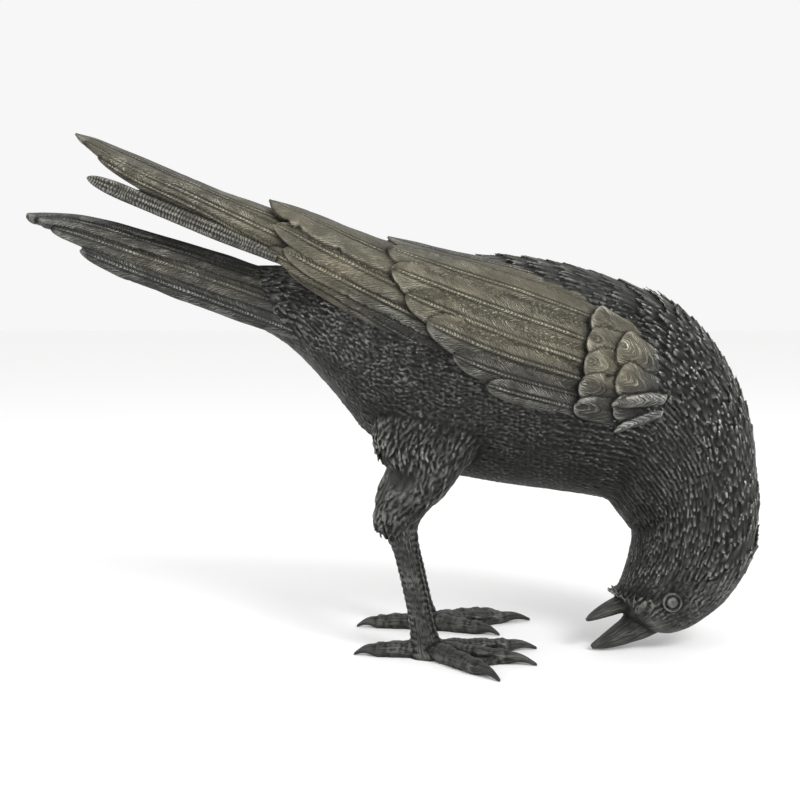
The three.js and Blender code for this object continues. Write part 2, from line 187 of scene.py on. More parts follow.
# Rows of feathers: how many, then lists that are spread evenly over the row. Distances run from
# the wrist or the rump, angles from the top, and lifts are heights above the tube.
WING_ROWS = {
    "primaries": dict(
        count=3, root=(185,), tip=(414, 426, 436), root_angle=(108, 82, 55),
        tip_angle=(106, 74, 40), half_width=(7.5, 10, 14), root_lift=(-6,), tip_lift=(-0.5, 0, 0.5),
        shaft=(0.7,), droop=(0.6,), barbs=(1,), ragged=(0.6,),
    ),
    "secondaries": dict(
        count=5, root=(110,), tip=(284, 300, 290, 301, 312), root_angle=(120, 108, 100, 92, 74),
        tip_angle=(121, 107, 95, 68, 31), half_width=(10, 10, 10, 12, 20), root_lift=(-6,),
        tip_lift=(-3, -2, -0.5, 0.5, 2.5), shaft=(0.7,), droop=(0.7,), barbs=(1,), ragged=(1,),
    ),
    "greater_coverts": dict(
        count=7, root=(60, 90), tip=(150, 174, 196, 213, 227, 234, 238),
        root_angle=(116, 108, 98, 88, 74, 58, 34), tip_angle=(119, 110, 97, 83, 66, 44, 20),
        half_width=(9, 10, 12, 13, 15, 16, 16), root_lift=(-4.5,),
        tip_lift=(0.5, 0.5, 0.8, 1, 1.2, 1, 0.5), shaft=(0.7,), droop=(0.7,), barbs=(1,),
        ragged=(1,),
    ),
    "lesser_coverts": dict(
        count=5, root=(48, 50, 60, 75), tip=(97, 104, 110), root_angle=(113, 60),
        tip_angle=(113, 57), half_width=(10, 12), root_lift=(-4.5,), tip_lift=(1.2, 1.3),
        shaft=(0.15,), droop=(0.4,), barbs=(0.35,), ragged=(1.4,),
    ),
    "shoulder_coverts": dict(
        count=3, root=(42, 54), tip=(77, 90), root_angle=(108, 74), tip_angle=(106, 68),
        half_width=(10, 12), root_lift=(-4.5,), tip_lift=(1.1, 1.1), shaft=(0,), droop=(0.4,),
        barbs=(0.25,), ragged=(1.4,),
    ),
    "wrist": dict(
        count=2, root=(50, 48), tip=(79, 70), root_angle=(92, 104), tip_angle=(106, 124),
        half_width=(5.5, 5), root_lift=(0.2,), tip_lift=(1.2,), shaft=(0,), droop=(1.8,),
        barbs=(0,), ragged=(0.3,),
    ),
}
TAIL_ROW = dict(
    count=4, root=(0,), tip=(150, 172, 186, 197), root_angle=(98, 12), tip_angle=(98, 12),
    half_width=(8, 9.5), root_lift=(-2.5, -0.5), tip_lift=(-1.5, 0.5), shaft=(0.5,), droop=(0.6,),
    barbs=(0.8,), ragged=(0.8,),
)
FIRST_QUILL_TIP = (-189, -19, 288)
FIRST_QUILL_ROOT = (292, 112, -3)

# Tufts: part of the body's length from the tail to the face, angles from the top, square
# millimetres for each tuft, its length, width and rise, and how far it may turn aside
TUFTS = {
    "mantle": ((0.14, 0.46), (0, 45), 40, 24, 4.5, 0.3, 5),
    "nape": ((0.45, 0.79), (24, 80), 34, 19, 5.5, 0.8, 12),
    "hindneck": ((0.45, 0.79), (0, 26), 30, 20, 4.5, 0.35, 7),
    "shoulder": ((0.37, 0.47), (40, 125), 16, 17, 2.8, 0.6, 9),
    "neck": ((0.46, 0.79), (76, 150), 17, 22, 2.1, 0.5, 5),
    "throat": ((0.66, 0.84), (120, 180), 9, 10, 1.8, 0.3, 16),
    "breast": ((0.36, 0.66), (125, 180), 10, 14, 2, 0.35, 13),
    "belly": ((0.16, 0.40), (98, 180), 8, 11, 2, 0.35, 22),
    "flank": ((0.14, 0.36), (70, 98), 10, 12, 2.2, 0.35, 16),
    "rump": ((0.0, 0.17), (20, 180), 22, 9, 2, 0.25, 26),
    "crown": ((0.79, 0.92), (0, 180), 5, 6, 1.3, 0.18, 20),
}
THIGH_TUFTS = dict(low=80, high=156, area=7, length=10, width=1.9, rise=0.4, turn=22)
SCUTES = dict(low=8, high=78, spacing=4.2, length=5.5, width=8, rise=0.7)

EYE = dict(x=164, y=-15.5, z=32.5, side=22, ball=3.7, ring=6, ball_rise=2.2, ring_rise=1.2)


class RavenForm(bpy.types.PropertyGroup):
    """Sizes of the carving"""

    body_step: bpy.props.FloatProperty(
        name="Body step", description="Distance between points of the body's wax",
        default=0.0008, unit="LENGTH",
    )
    feather_step: bpy.props.FloatProperty(
        name="Feather step", description="Distance between points of the feathers' wax",
        default=0.00065, unit="LENGTH",
    )
    strand_depth: bpy.props.FloatProperty(
        name="Strand depth", description="Depth of the grooves between strands of plumage",
        default=0.0009, unit="LENGTH",
    )
    barb_depth: bpy.props.FloatProperty(
        name="Barb depth", description="Depth of the grooves between a feather's barbs",
        default=0.00035, unit="LENGTH",
    )
    barb_spacing: bpy.props.FloatProperty(
        name="Barb spacing", description="Distance between barbs along a feather's shaft",
        default=0.0024, unit="LENGTH",
    )
    shaft_height: bpy.props.FloatProperty(
        name="Shaft height", description="Height of a feather's shaft above its vanes",
        default=0.0006, unit="LENGTH",
    )
    blade_thickness: bpy.props.FloatProperty(
        name="Blade thickness", description="Thickness of the free flight feathers",
        default=0.0045, unit="LENGTH",
    )
    tuft_size: bpy.props.FloatProperty(
        name="Tuft size", description="Size of all tufts, as a share of the carved ones",
        default=1, min=0.1, max=2,
    )
    seed: bpy.props.IntProperty(name="Seed", description="Seed of all irregularity", default=7)


class RavenPatina(bpy.types.PropertyGroup):
    """Colours and gloss of the patina, and the colour of painted shade"""

    # Colour of the patina in grooves, also used as painted shade in broad recesses and on the underside
    groove_patina_and_shade: bpy.props.FloatVectorProperty(
        name="Hollows", description="Colour of the deepest grooves", subtype="COLOR",
        default=(0.003, 0.003, 0.0028), min=0, max=1,
    )
    dark: bpy.props.FloatVectorProperty(
        name="Dark bronze", description="Colour of the plumage", subtype="COLOR",
        default=(0.034, 0.034, 0.0315), min=0, max=1,
    )
    rubbed: bpy.props.FloatVectorProperty(
        name="Rubbed bronze", description="Colour of raised edges", subtype="COLOR",
        default=(0.36, 0.36, 0.33), min=0, max=1,
    )
    khaki: bpy.props.FloatVectorProperty(
        name="Khaki", description="Colour of the wings", subtype="COLOR",
        default=(0.108, 0.098, 0.068), min=0, max=1,
    )
    khaki_rubbed: bpy.props.FloatVectorProperty(
        name="Rubbed khaki", description="Colour of raised edges on the wings", subtype="COLOR",
        default=(0.40, 0.365, 0.27), min=0, max=1,
    )
    metallic: bpy.props.FloatProperty(
        name="Metallic", description="Share of bare metal in the patina", default=0.6,
        subtype="FACTOR", min=0, max=1,
    )


class RavenStage(bpy.types.PropertyGroup):
    """Floor, light and camera"""

    floor: bpy.props.FloatVectorProperty(
        name="Floor", description="Colour of the floor", subtype="COLOR",
        default=(0.97, 0.97, 0.968), min=0, max=1,
    )
    eye_height: bpy.props.FloatProperty(
        name="Camera height", description="Height of the camera", default=0.208, unit="LENGTH",
    )
    distance: bpy.props.FloatProperty(
        name="Camera distance", description="From the camera to the bird's middle plane",
        default=0.8, unit="LENGTH",
    )
    pitch: bpy.props.FloatProperty(
        name="Camera pitch", description="Angle that the camera looks down",
        default=math.radians(4), subtype="ANGLE",
    )
    lens: bpy.props.FloatProperty(
        name="Lens", description="Focal length for a 36 mm sensor, in millimetres", default=57.78,
    )
    key: bpy.props.FloatProperty(
        name="Key light", description="Power of the main light", default=30, unit="POWER",
    )
    fill: bpy.props.FloatProperty(
        name="Fill light", description="Power of the light from the other side", default=9,
        unit="POWER",
    )
    sky: bpy.props.FloatProperty(
        name="Surroundings", description="Strength of the even light all round", default=0.93,
    )


# Shapes shared by the wax parts


def row_frame(points):
    """Points of the tables, in millimetres, in the row's frame and in metres."""
    return (np.asarray(points, float) - OUTLINE_MIDDLE) * MM


def smooth(value, low, high):
    """0 below low, 1 above high, and a smooth step between them."""
    t = np.clip((np.asarray(value, float) - low) / (high - low), 0, 1)
    return t * t * (3 - 2 * t)


def between(value, low, high, soft):
    """1 between low and high, and 0 beyond, with soft ends."""
    return smooth(value, low - soft, low + soft) * (1 - smooth(value, high - soft, high + soft))


def along(rows, t):
    """A table's columns at t from 0 to 1, on smooth curves through its rows."""
    rows = np.asarray(rows, float)
    padded = np.vstack([2 * rows[0] - rows[1], rows, 2 * rows[-1] - rows[-2]])
    place = np.clip(np.asarray(t, float), 0, 1) * (len(rows) - 1)
    i = np.minimum(place.astype(int), len(rows) - 2)
    u = (place - i)[..., None]
    before, start, end, after = (padded[i + k] for k in range(4))
    leaving, arriving = (end - before) / 2, (after - start) / 2
    straight = (2 * u**3 - 3 * u**2 + 1) * start + (3 * u**2 - 2 * u**3) * end
    return straight + (u**3 - 2 * u**2 + u) * leaving + (u**3 - u**2) * arriving


def position_at(rows, distance):
    """Position from 0 to 1 at which a table's first column has a value."""
    first = np.asarray(rows, float)[:, 0]
    place = np.interp(distance, first, np.arange(len(first)))
    beyond = np.maximum(0, distance - first[-1]) / (first[-1] - first[-2])
    return (place + beyond) / (len(first) - 1)


def spread_over(values, share):
    """Value at a share from 0 to 1 of a list of evenly spaced values."""
    return float(np.interp(share * (len(values) - 1), np.arange(len(values)), values))


def chance(i, j, seed):
    """Repeatable values from 0 to 1 for whole numbers i and j."""
    n = i.astype(np.int64) * 374761393 + j.astype(np.int64) * 668265263 + seed * 1442695041
    n = (n ^ (n >> 13)) & 0x7FFFFFFF
    n = (n * 1274126177) & 0x7FFFFFFF
    return ((n ^ (n >> 16)) & 0xFFFF) / 65535


def noise(x, y, seed, period=None):
    """Smooth noise from -1 to 1, that repeats in y after a whole number of cells."""
    x, y = np.broadcast_arrays(np.asarray(x, float), np.asarray(y, float))
    i, j = np.floor(x).astype(np.int64), np.floor(y).astype(np.int64)
    u, v = x - i, y - j
    u, v = u * u * (3 - 2 * u), v * v * (3 - 2 * v)
    low, high = (j, j + 1) if period is None else (j % period, (j + 1) % period)
    bottom = chance(i, low, seed) * (1 - u) + chance(i + 1, low, seed) * u
    top = chance(i, high, seed) * (1 - u) + chance(i + 1, high, seed) * u
    return 2 * (bottom * (1 - v) + top * v) - 1


def grooves(x, y, seed, period=None):
    """Rounded strands with sharp grooves between them, from 0 to 1. They run along x."""
    double = None if period is None else 2 * period
    fine = noise(2.3 * x, 2 * y, seed + 1, double)
    return np.abs(noise(x, y, seed, period) + 0.45 * fine) ** 0.6


class Wax:
    """A closed wax part: points in millimetres, triangles, and what the patina needs to know.

    grain holds a distance along the plumage, a distance across it and the feather's number. tone
    holds shares of the wings' khaki, of dark seams, of wear on what stands out, and of barbs."""

    def __init__(self, points, faces, grain, tone):
        self.points = np.asarray(points, float)
        self.faces = np.asarray(faces, np.int64)
        self.grain = np.asarray(grain, float)
        self.tone = np.asarray(tone, float)

    def mirrored(self):
        points = self.points * (1, -1, 1)
        return Wax(points, self.faces[:, ::-1], self.grain + (0, 0, 0.5), self.tone)


def joined(parts):
    starts = np.cumsum([0] + [len(p.points) for p in parts[:-1]])
    faces = np.vstack([p.faces + start for p, start in zip(parts, starts)])
    columns = (np.concatenate([getattr(p, name) for p in parts]) for name in ("points", "grain", "tone"))
    points, grain, tone = columns
    return Wax(points, faces, grain, tone)


def outward(points, faces):
    """Faces turned outwards, by the sign of the volume that they enclose."""
    a, b, c = (points[faces[:, k]] for k in range(3))
    volume = np.einsum("ij,ij->i", a, np.cross(b, c)).sum()
    return faces if volume > 0 else faces[:, ::-1]


def layered(*values):
    """Values side by side, each spread over the shape of them all."""
    return np.stack(np.broadcast_arrays(*values), -1)


def lofted(rings, grain, tone):
    """Closed skin over rings of points, shaped (stations, points, 3), with a pole at each end."""
    stations, count, _ = rings.shape
    number = np.arange(stations * count).reshape(stations, count)
    a, b = number[:-1], np.roll(number[:-1], -1, axis=1)
    c, d = np.roll(number[1:], -1, axis=1), number[1:]
    faces = [np.stack([a, b, c], -1).reshape(-1, 3), np.stack([a, c, d], -1).reshape(-1, 3)]
    poles = np.array([rings[0].mean(0), rings[-1].mean(0)])
    first, last = stations * count, stations * count + 1
    start, end = number[0], number[-1]
    faces.append(np.stack([np.full(count, first), np.roll(start, -1), start], -1))
    faces.append(np.stack([np.full(count, last), end, np.roll(end, -1)], -1))
    points = np.vstack([rings.reshape(-1, 3), poles])
    values = []
    for value in (grain, tone):
        value = np.broadcast_to(value, (stations, count, np.shape(value)[-1]))
        value = value.reshape(stations * count, -1)
        values.append(np.vstack([value, value[:1], value[-1:]]))
    return Wax(points, outward(points, np.vstack(faces)), *values)


def oval_rings(rows, t, turns, relief):
    """Rings of an oval loft at positions t, raised by relief, shaped (stations, points)."""
    x, y, z, lean, half_height, half_width = along(rows, t).T[:, :, None]
    lean = np.radians(lean)
    rise = (half_height + relief) * np.cos(turns)
    side = -(half_width + relief) * np.sin(turns)
    return np.stack([x + np.sin(lean) * rise, y + side, z + np.cos(lean) * rise], -1)


def distances(rings):
    """Distance of every point from the first ring, measured along the loft."""
    steps = np.linalg.norm(np.diff(rings, axis=0), axis=2)
    return np.vstack([np.zeros(rings.shape[1]), np.cumsum(steps, axis=0)])


def feather_tube(rows, slope):
    """Function that gives points at distances, angles from the top and heights above a tube, and
    the tube's radius of turning."""
    lean = math.radians(slope)
    up = np.array([math.sin(lean), 0, math.cos(lean)])

    def place(distance, angle, height):
        distance, angle, height = np.broadcast_arrays(distance, angle, height)
        table = along(rows, position_at(rows, distance))
        x, z, half_height, half_width = (table[..., k] for k in (1, 2, 3, 4))
        sine, cosine = np.sin(np.radians(angle)), np.cos(np.radians(angle))
        side = np.where(cosine < 0, np.sqrt(np.maximum(sine, 0)), sine)
        normal = np.stack([sine / half_width, cosine / half_height], -1)
        normal /= np.linalg.norm(normal, axis=-1, keepdims=True)
        reach = half_width * side + normal[..., 0] * height
        rise = half_height * cosine + normal[..., 1] * height
        point = np.stack([x, -reach, z], -1) + rise[..., None] * up
        return point, np.hypot(half_height * sine, half_width * cosine)

    return place


on_wing = feather_tube(WING_TUBE, WING_SLOPE)
on_tail = feather_tube(TAIL_TUBE, TAIL_SLOPE)


def feather_outline(t):
    """Share of a feather's half width along it: narrow at the root, round at the tip."""
    near_tip = np.maximum(0, (t - 0.8) / 0.2)
    round_tip = np.sqrt(np.maximum(1 - near_tip**2, 0))
    return (0.7 + 0.3 * smooth(t, 0, 0.35)) * np.maximum(0.03, round_tip)


def feather_relief(distance, share, f, seed):
    """Height of a feather's shaft, barbs and drooping edges over its middle line."""
    form = bpy.context.scene.raven_form
    wide = np.abs(share) * f["half_width"]
    side = np.sign(share)
    shaft = np.exp(-((wide / 0.7) ** 2)) - 0.9 * np.exp(-(((wide - 1.6) / 0.7) ** 2))
    shaft = shaft * form.shaft_height / MM * f["shaft"] * (0.7 + 0.5 * noise(distance / 17, 0.5, seed + 4))
    wander = 0.9 * noise(distance / 13, share * 1.5, seed)
    barb = (distance - 1.9 * wide) / (form.barb_spacing / MM) + wander
    groove = np.abs(np.sin(np.pi * barb)) ** 0.7
    strength = 0.7 + 0.6 * noise(distance / 16, wide / 6 + 9 * side, seed + 3)
    barbs = form.barb_depth / MM * (groove - 0.7) * strength * smooth(wide, 0.8, 2.2)
    split = smooth(noise(barb / 2.5, side * 7 + 0.5, seed + 5), 0.45, 0.8)
    splits = -0.9 * split * (1 - np.abs(np.sin(np.pi * barb)) ** 0.5) * smooth(np.abs(share), 0.25, 0.55)
    lumps = 0.35 * noise(distance / 17, share * 2, seed + 6)
    edge = 0.6 * smooth(np.abs(share), 0.82, 1.0)
    return shaft + f["barbs"] * (barbs + splits) + lumps - f["droop"] * share**2 - edge


def feather(tube, f, thickness_at, khaki_at, seed):
    form = bpy.context.scene.raven_form
    step = form.feather_step / MM
    stations = max(20, int((f["tip"] - f["root"]) / step))
    across = max(14, int(2 * f["half_width"] / step))
    t = (1 - (1 - np.linspace(0, 1, stations)) ** 1.15)[:, None]
    top = np.linspace(-1, 1, across)
    under = np.linspace(0.8, -0.8, max(4, across // 4))
    share = np.concatenate([top, under])[None, :]
    middle = f["root"] + (f["tip"] - f["root"]) * t
    uneven = 1.6 * noise(share * 1.7 + seed, 0.5, seed + 7) * smooth(t, 0.7, 1)
    distance = middle + f["ragged"] * uneven
    angle = f["root_angle"] + (f["tip_angle"] - f["root_angle"]) * t
    lift = f["root_lift"] + (f["tip_lift"] - f["root_lift"]) * t
    edge = noise(middle / 4, np.sign(share) * 5 + 0.5, seed + 2)
    bay = noise(middle / 11, np.sign(share) * 5 + 0.5, seed + 8)
    torn = 1 - f["ragged"] * (0.2 * np.clip(edge - 0.3, 0, 1) + 0.1 * bay) * smooth(t, 0.3, 0.6)
    _, radius = tube(middle, angle, 0)
    half_angle = np.degrees(f["half_width"] * feather_outline(t) / radius) * torn
    turn = angle + half_angle * share
    relief = feather_relief(distance, share, f, seed)
    thin = np.sqrt(np.maximum(0.06, 1 - smooth(t, 0.93, 1.0) ** 2))
    relief[:, len(top):] = -(thickness_at(middle) * thin)
    point, _ = tube(distance, turn, lift + relief)
    wide = np.abs(share) * f["half_width"] + 0 * distance
    rim = np.maximum(smooth(np.abs(share), 0.86, 0.98), smooth(t, 0.975, 0.995))
    beside_shaft = 0.75 * f["shaft"] * np.exp(-(((wide - 1.5) / 0.7) ** 2)) * (1 - smooth(t, 0.8, 0.95))
    seam = np.maximum(rim * (0.75 + 0.5 * edge), beside_shaft)
    grain = layered(2 * wide, distance - 1.9 * wide, seed)
    tone = layered(khaki_at(distance, turn), seam, 1.0 + 0 * wide, f["barbs"])
    return lofted(point, grain, tone)


def feather_row(tube, row, thickness_at, khaki_at, seed):
    lists = {name: values for name, values in row.items() if name != "count"}
    parts = []
    for i in range(row["count"]):
        f = {name: spread_over(values, i / (row["count"] - 1)) for name, values in lists.items()}
        parts.append(feather(tube, f, thickness_at, khaki_at, seed + 3 * i))
    return parts


def wing_khaki(distance, angle):
    """Khaki on the wing: not on the wrist, the back's edge, the lower coverts or the long blade."""
    low_coverts = smooth(angle, 88, 106) * (1 - smooth(distance, 215, 262))
    blade = 1 - 0.35 * smooth(distance, 318, 345)
    patches = 0.5 + 0.5 * noise(distance / 26, angle / 15, 31)
    edge = smooth(angle, 18, 34) * smooth(distance, 56, 84)
    return edge * (1 - 0.85 * low_coverts) * blade * (0.7 + 0.3 * smooth(patches, 0.15, 0.6))


def tail_khaki(distance, angle):
    band = between(angle, 42, 84, 10) * between(distance, 35, 150, 20)
    return 0.55 * band * (0.6 + 0.4 * noise(distance / 20, angle / 20, 33))


def first_quill(seed):
    """The lowest flight feather, that stands clear of the others on a straight line."""
    root = on_wing(*[np.array(v, float) for v in FIRST_QUILL_ROOT])[0]
    quill = dict(half_width=5, shaft=0.7, droop=0.8, barbs=1)
    tip = np.array(FIRST_QUILL_TIP, float)
    out = np.array([0, -1, 0.0])
    across = unit(np.cross(tip - root, out))
    t = np.linspace(0, 1, 180)[:, None]
    top, under = np.linspace(-1, 1, 15), np.linspace(0.8, -0.8, 5)
    share = np.concatenate([top, under])[None, :]
    distance = t * np.linalg.norm(tip - root) + 0 * share
    thin = np.sqrt(np.maximum(0.06, 1 - smooth(t, 0.93, 1.0) ** 2))
    height = 2 * thin + feather_relief(distance, share, quill, seed)
    height[:, len(top):] = -2 * thin
    reach = 5 * feather_outline(t) * share
    centre = root + (tip - root) * t
    rings = centre[:, None, :] + reach[..., None] * across + height[..., None] * out
    return lofted(rings, layered(2 * np.abs(reach), distance, seed), layered(0.15, 0.0, 0.7, 1.0 + 0 * reach))


# What the parts become in Blender


def plain_mesh(name, points, faces):
    mesh = bpy.data.meshes.new(name)
    mesh.vertices.add(len(points))
    mesh.vertices.foreach_set("co", points.astype(np.float32).ravel())
    mesh.loops.add(faces.size)
    mesh.loops.foreach_set("vertex_index", faces.astype(np.int32).ravel())
    mesh.polygons.add(len(faces))
    mesh.polygons.foreach_set("loop_start", np.arange(0, faces.size, 3, dtype=np.int32))
    mesh.update(calc_edges=True)
    return mesh


def mesh_object(name, wax):
    """Object of a wax part, in the row's frame, with the patina's values on its points."""
    mesh = plain_mesh(name, row_frame(wax.points), wax.faces)
    store(mesh, "grain", wax.grain)
    store(mesh, "tone", wax.tone)
    piece = bpy.data.objects.new(name, mesh)
    bpy.context.scene.collection.objects.link(piece)
    return piece


def coordinates(mesh):
    co = np.empty(3 * len(mesh.vertices), np.float32)
    mesh.vertices.foreach_get("co", co)
    return co.reshape(-1, 3)


KINDS = {1: ("FLOAT", "value"), 3: ("FLOAT_VECTOR", "vector"), 4: ("FLOAT_COLOR", "color")}


def store(mesh, name, values):
    """Puts values on a mesh's points."""
    kind, field = KINDS[1 if values.ndim == 1 else values.shape[1]]
    layer = mesh.attributes.new(name, kind, "POINT")
    layer.data.foreach_set(field, values.astype(np.float32).ravel())


def stored(mesh, name, width):
    values = np.empty(width * len(mesh.vertices), np.float32)
    mesh.attributes[name].data.foreach_get(KINDS[width][1], values)
    return values.reshape(-1, width)


def evaluated_mesh(piece):
    """Mesh of an object with its modifiers applied."""
    shown = piece.evaluated_get(bpy.context.evaluated_depsgraph_get())
    return bpy.data.meshes.new_from_object(shown)


def with_modifier(piece, kind, **values):
    """Applies one modifier to an object's mesh."""
    modifier = piece.modifiers.new(kind.title(), kind)
    for name, value in values.items():
        setattr(modifier, name, value)
    mesh = evaluated_mesh(piece)
    piece.modifiers.clear()
    old = piece.data
    piece.data = mesh
    bpy.data.meshes.remove(old)


def take_waxes(name):
    """The wax parts whose names start with a name."""
    return [o for o in bpy.context.scene.objects if o.name.startswith(name)]


# Operators, one for each group of wax parts, one for the cast and one for the stage


class RAVEN_OT_body(bpy.types.Operator):
    """Model the body, neck and head with their strands, the bill and the eyes"""

    bl_idname = "raven.body"
    bl_label = "Body, bill and eyes"

    def execute(self, context):
        form = context.scene.raven_form
        parts = [self.body(form), *(self.bill(rows, form) for rows in (UPPER_BILL, LOWER_BILL))]
        parts += [self.eye(-1), self.eye(1)]
        mesh_object("wax_body_plain", joined(parts))
        return {"FINISHED"}

    def body(self, form):
        step = form.body_step / MM
        t = np.linspace(0, 1, int(560 / step))
        turns = np.linspace(0, 2 * np.pi, int(390 / step), endpoint=False)[None, :]
        plain = oval_rings(BODY, t, turns, 0)
        far = distances(plain)
        relief = body_relief(t[:, None], turns, far, form)
        rings = oval_rings(BODY, t, turns, relief)
        across = np.minimum(turns, 2 * np.pi - turns) * 46
        wear = 1 - 0.5 * smooth(t, 0.93, 0.97)[:, None]
        return lofted(rings, layered(far, across, 0), layered(0, 0, wear + 0 * far, 0))

    def bill(self, rows, form):
        t = np.linspace(0, 1, 90)
        turns = np.linspace(0, 2 * np.pi, 60, endpoint=False)[None, :]
        plain = oval_rings(rows, t, turns, 0)
        far = distances(plain)
        relief = 0.12 * noise(far / 9, turns * 5, form.seed, None) * (1 - t[:, None])
        rings = oval_rings(rows, t, turns, relief)
        return lofted(rings, layered(far, turns * 9, 90), (0, 0, 0.3, 0))

    def eye(self, side):
        ball, ring = EYE["ball"], EYE["ring"]
        profile = [(0.01, EYE["ball_rise"]), (ball * 0.45, EYE["ball_rise"] * 0.9)]
        profile += [(ball * 0.8, EYE["ball_rise"] * 0.6), (ball, 0), (ball * 1.1, 0)]
        profile += [((ball + ring) / 2, EYE["ring_rise"]), (ring * 0.95, EYE["ring_rise"] * 0.6)]
        profile += [(ring, 0), (ring, -4), (0.01, -4)]
        turns = np.linspace(0, 2 * np.pi, 40, endpoint=False)
        centre = np.array([EYE["x"], EYE["y"] + side * EYE["side"], EYE["z"]])
        rings = [
            centre + np.stack([r * np.cos(turns), side * h + 0 * turns, r * np.sin(turns)], -1)
            for r, h in profile
        ]
        return lofted(np.array(rings), (0, 0, 91), (0, 0, 0.6, 0))


def body_relief(t, turns, far, form):
    """Strands and lumps of the body in millimetres, without its tufts."""
    angle = np.degrees(np.minimum(turns, 2 * np.pi - turns))
    wander = 0.1 * noise(far / 34, turns * 14 / (2 * np.pi), form.seed, 14)
    count = 84
    strand = grooves(far / 22, (turns + wander) * count / (2 * np.pi), form.seed + 1, count)
    lump = noise(far / 24, turns * 9 / (2 * np.pi), form.seed + 9, 9)
    pit = noise(far / 4.5, turns * 70 / (2 * np.pi), form.seed + 12, 70)
    neck = between(t, 0.41, 0.79, 0.04)
    side = between(angle, 60, 160, 12)
    head = smooth(t, 0.78, 0.84)
    rear = 1 - smooth(t, 0.1, 0.2)
    strands = 0.4 + neck * (0.25 + 0.75 * side) - 0.25 * head - 0.25 * rear
    face = 1 - smooth(t, 0.93, 0.97)
    lumps = (0.5 * lump + 0.25 * pit * rear) * (1 - head) * (1 + 0.6 * rear)
    return face * (form.strand_depth / MM * strands * (strand - 0.6) + lumps)


def on_body(t, turns):
    """Points of the plain body, with the directions outwards and from the face to the tail."""
    def at(t, turns):
        x, y, z, lean, half_height, half_width = along(BODY, t).T
        lean = np.radians(lean)
        rise = half_height * np.cos(turns)
        sideways = y - half_width * np.sin(turns)
        return np.stack([x + np.sin(lean) * rise, sideways, z + np.cos(lean) * rise], -1)

    small = 1e-3
    backward = unit(at(t - small, turns) - at(t + small, turns))
    around = at(t, turns + small) - at(t, turns - small)
    return at(t, turns), unit(np.cross(around, backward)), backward


def unit(vectors):
    return vectors / np.maximum(np.linalg.norm(vectors, axis=-1, keepdims=True), 1e-9)


def even_places(count):
    """Pairs of numbers from 0 to 1 that cover a square evenly without a pattern."""
    n = np.arange(1, count + 1)
    return n * 0.7548776662 % 1, n * 0.5698402910 % 1


def tuft_mesh():
    """One tuft of unit length, width and rise along +X: sunk at its root, highest in its second
    half, with three strands."""
    stations = (
        (0, 0.2, -0.6), (0.15, 0.65, 0.1), (0.35, 1, 0.6), (0.6, 0.95, 1), (0.8, 0.65, 0.85),
        (0.94, 0.3, 0.3), (1, 0.08, -0.3),
    )
    across = ((-1, -0.5), (-0.66, 0.75), (-0.33, 0.45), (0, 1), (0.33, 0.45), (0.66, 0.75), (1, -0.5), (0.5, -1.6), (-0.5, -1.6))
    points = [(x, y * width / 2, top + (z - 1) * 0.6) for x, width, top in stations for y, z in across]
    count = len(across)
    faces = []
    for i in range(len(stations) - 1):
        for j in range(count):
            k = (j + 1) % count
            faces.append((i * count + j, (i + 1) * count + j, (i + 1) * count + k, i * count + k))
    faces.append(tuple(range(count)))
    faces.append(tuple(range((len(stations) - 1) * count + count - 1, (len(stations) - 1) * count - 1, -1)))
    mesh = bpy.data.meshes.new("tuft")
    mesh.from_pydata(points, [], faces)
    return mesh


def setting_tree():
    """Sets a tuft on every point, upright on its normal and combed along its direction."""
    tree = bpy.data.node_groups.new("Set tufts", "GeometryNodeTree")
    tree.is_modifier = True
    for name, socket_type in (
        ("Geometry", "NodeSocketGeometry"), ("Tuft", "NodeSocketObject"), ("Size", "NodeSocketFloat"),
        ("Seed", "NodeSocketInt"), ("Material", "NodeSocketMaterial"),
    ):
        tree.interface.new_socket(name=name, in_out="INPUT", socket_type=socket_type)
    tree.interface.new_socket(name="Geometry", in_out="OUTPUT", socket_type="NodeSocketGeometry")
    given = add(tree, "NodeGroupInput").outputs
    tuft = add(tree, "GeometryNodeObjectInfo", {"Object": given["Tuft"]}).outputs["Geometry"]

    def read(name, data_type):
        node = add(tree, "GeometryNodeInputNamedAttribute", {"Name": name}, data_type=data_type)
        return next(output for output in node.outputs if output.enabled)

    upright = add(
        tree, "FunctionNodeAlignRotationToVector", {"Vector": read("outward", "FLOAT_VECTOR")}, axis="Z",
    ).outputs["Rotation"]
    combed = add(
        tree, "FunctionNodeAlignRotationToVector",
        {"Rotation": upright, "Vector": read("backward", "FLOAT_VECTOR")}, axis="X", pivot_axis="Z",
    ).outputs["Rotation"]
    chance_turn = add(tree, "FunctionNodeRandomValue", {"Seed": given["Seed"]}, data_type="FLOAT")
    for socket, limit in zip((s for s in chance_turn.inputs if s.enabled), (-1, 1)):
        socket.default_value = limit
    random_turn = next(output for output in chance_turn.outputs if output.enabled)
    turn = add(tree, "ShaderNodeMath", {0: random_turn, 1: read("aside", "FLOAT")}, operation="MULTIPLY")
    axis = add(tree, "ShaderNodeCombineXYZ", {"Z": turn.outputs[0]}).outputs[0]
    aside = add(tree, "FunctionNodeEulerToRotation", {"Euler": axis}).outputs["Rotation"]
    rotation = add(
        tree, "FunctionNodeRotateRotation", {"Rotation": combed, "Rotate By": aside}, rotation_space="LOCAL",
    ).outputs["Rotation"]
    scale = add(
        tree, "ShaderNodeVectorMath", {0: read("measure", "FLOAT_VECTOR"), "Scale": given["Size"]},
        operation="SCALE",
    ).outputs[0]
    placed_tufts = add(
        tree, "GeometryNodeInstanceOnPoints",
        {"Points": given["Geometry"], "Instance": tuft, "Rotation": rotation, "Scale": scale},
    ).outputs["Instances"]
    real = add(tree, "GeometryNodeRealizeInstances", {"Geometry": placed_tufts}).outputs["Geometry"]
    last = add(tree, "GeometryNodeSetMaterial", {"Geometry": real, "Material": given["Material"]})
    result = add(tree, "NodeGroupOutput")
    tree.links.new(last.outputs["Geometry"], result.inputs["Geometry"])
    return tree


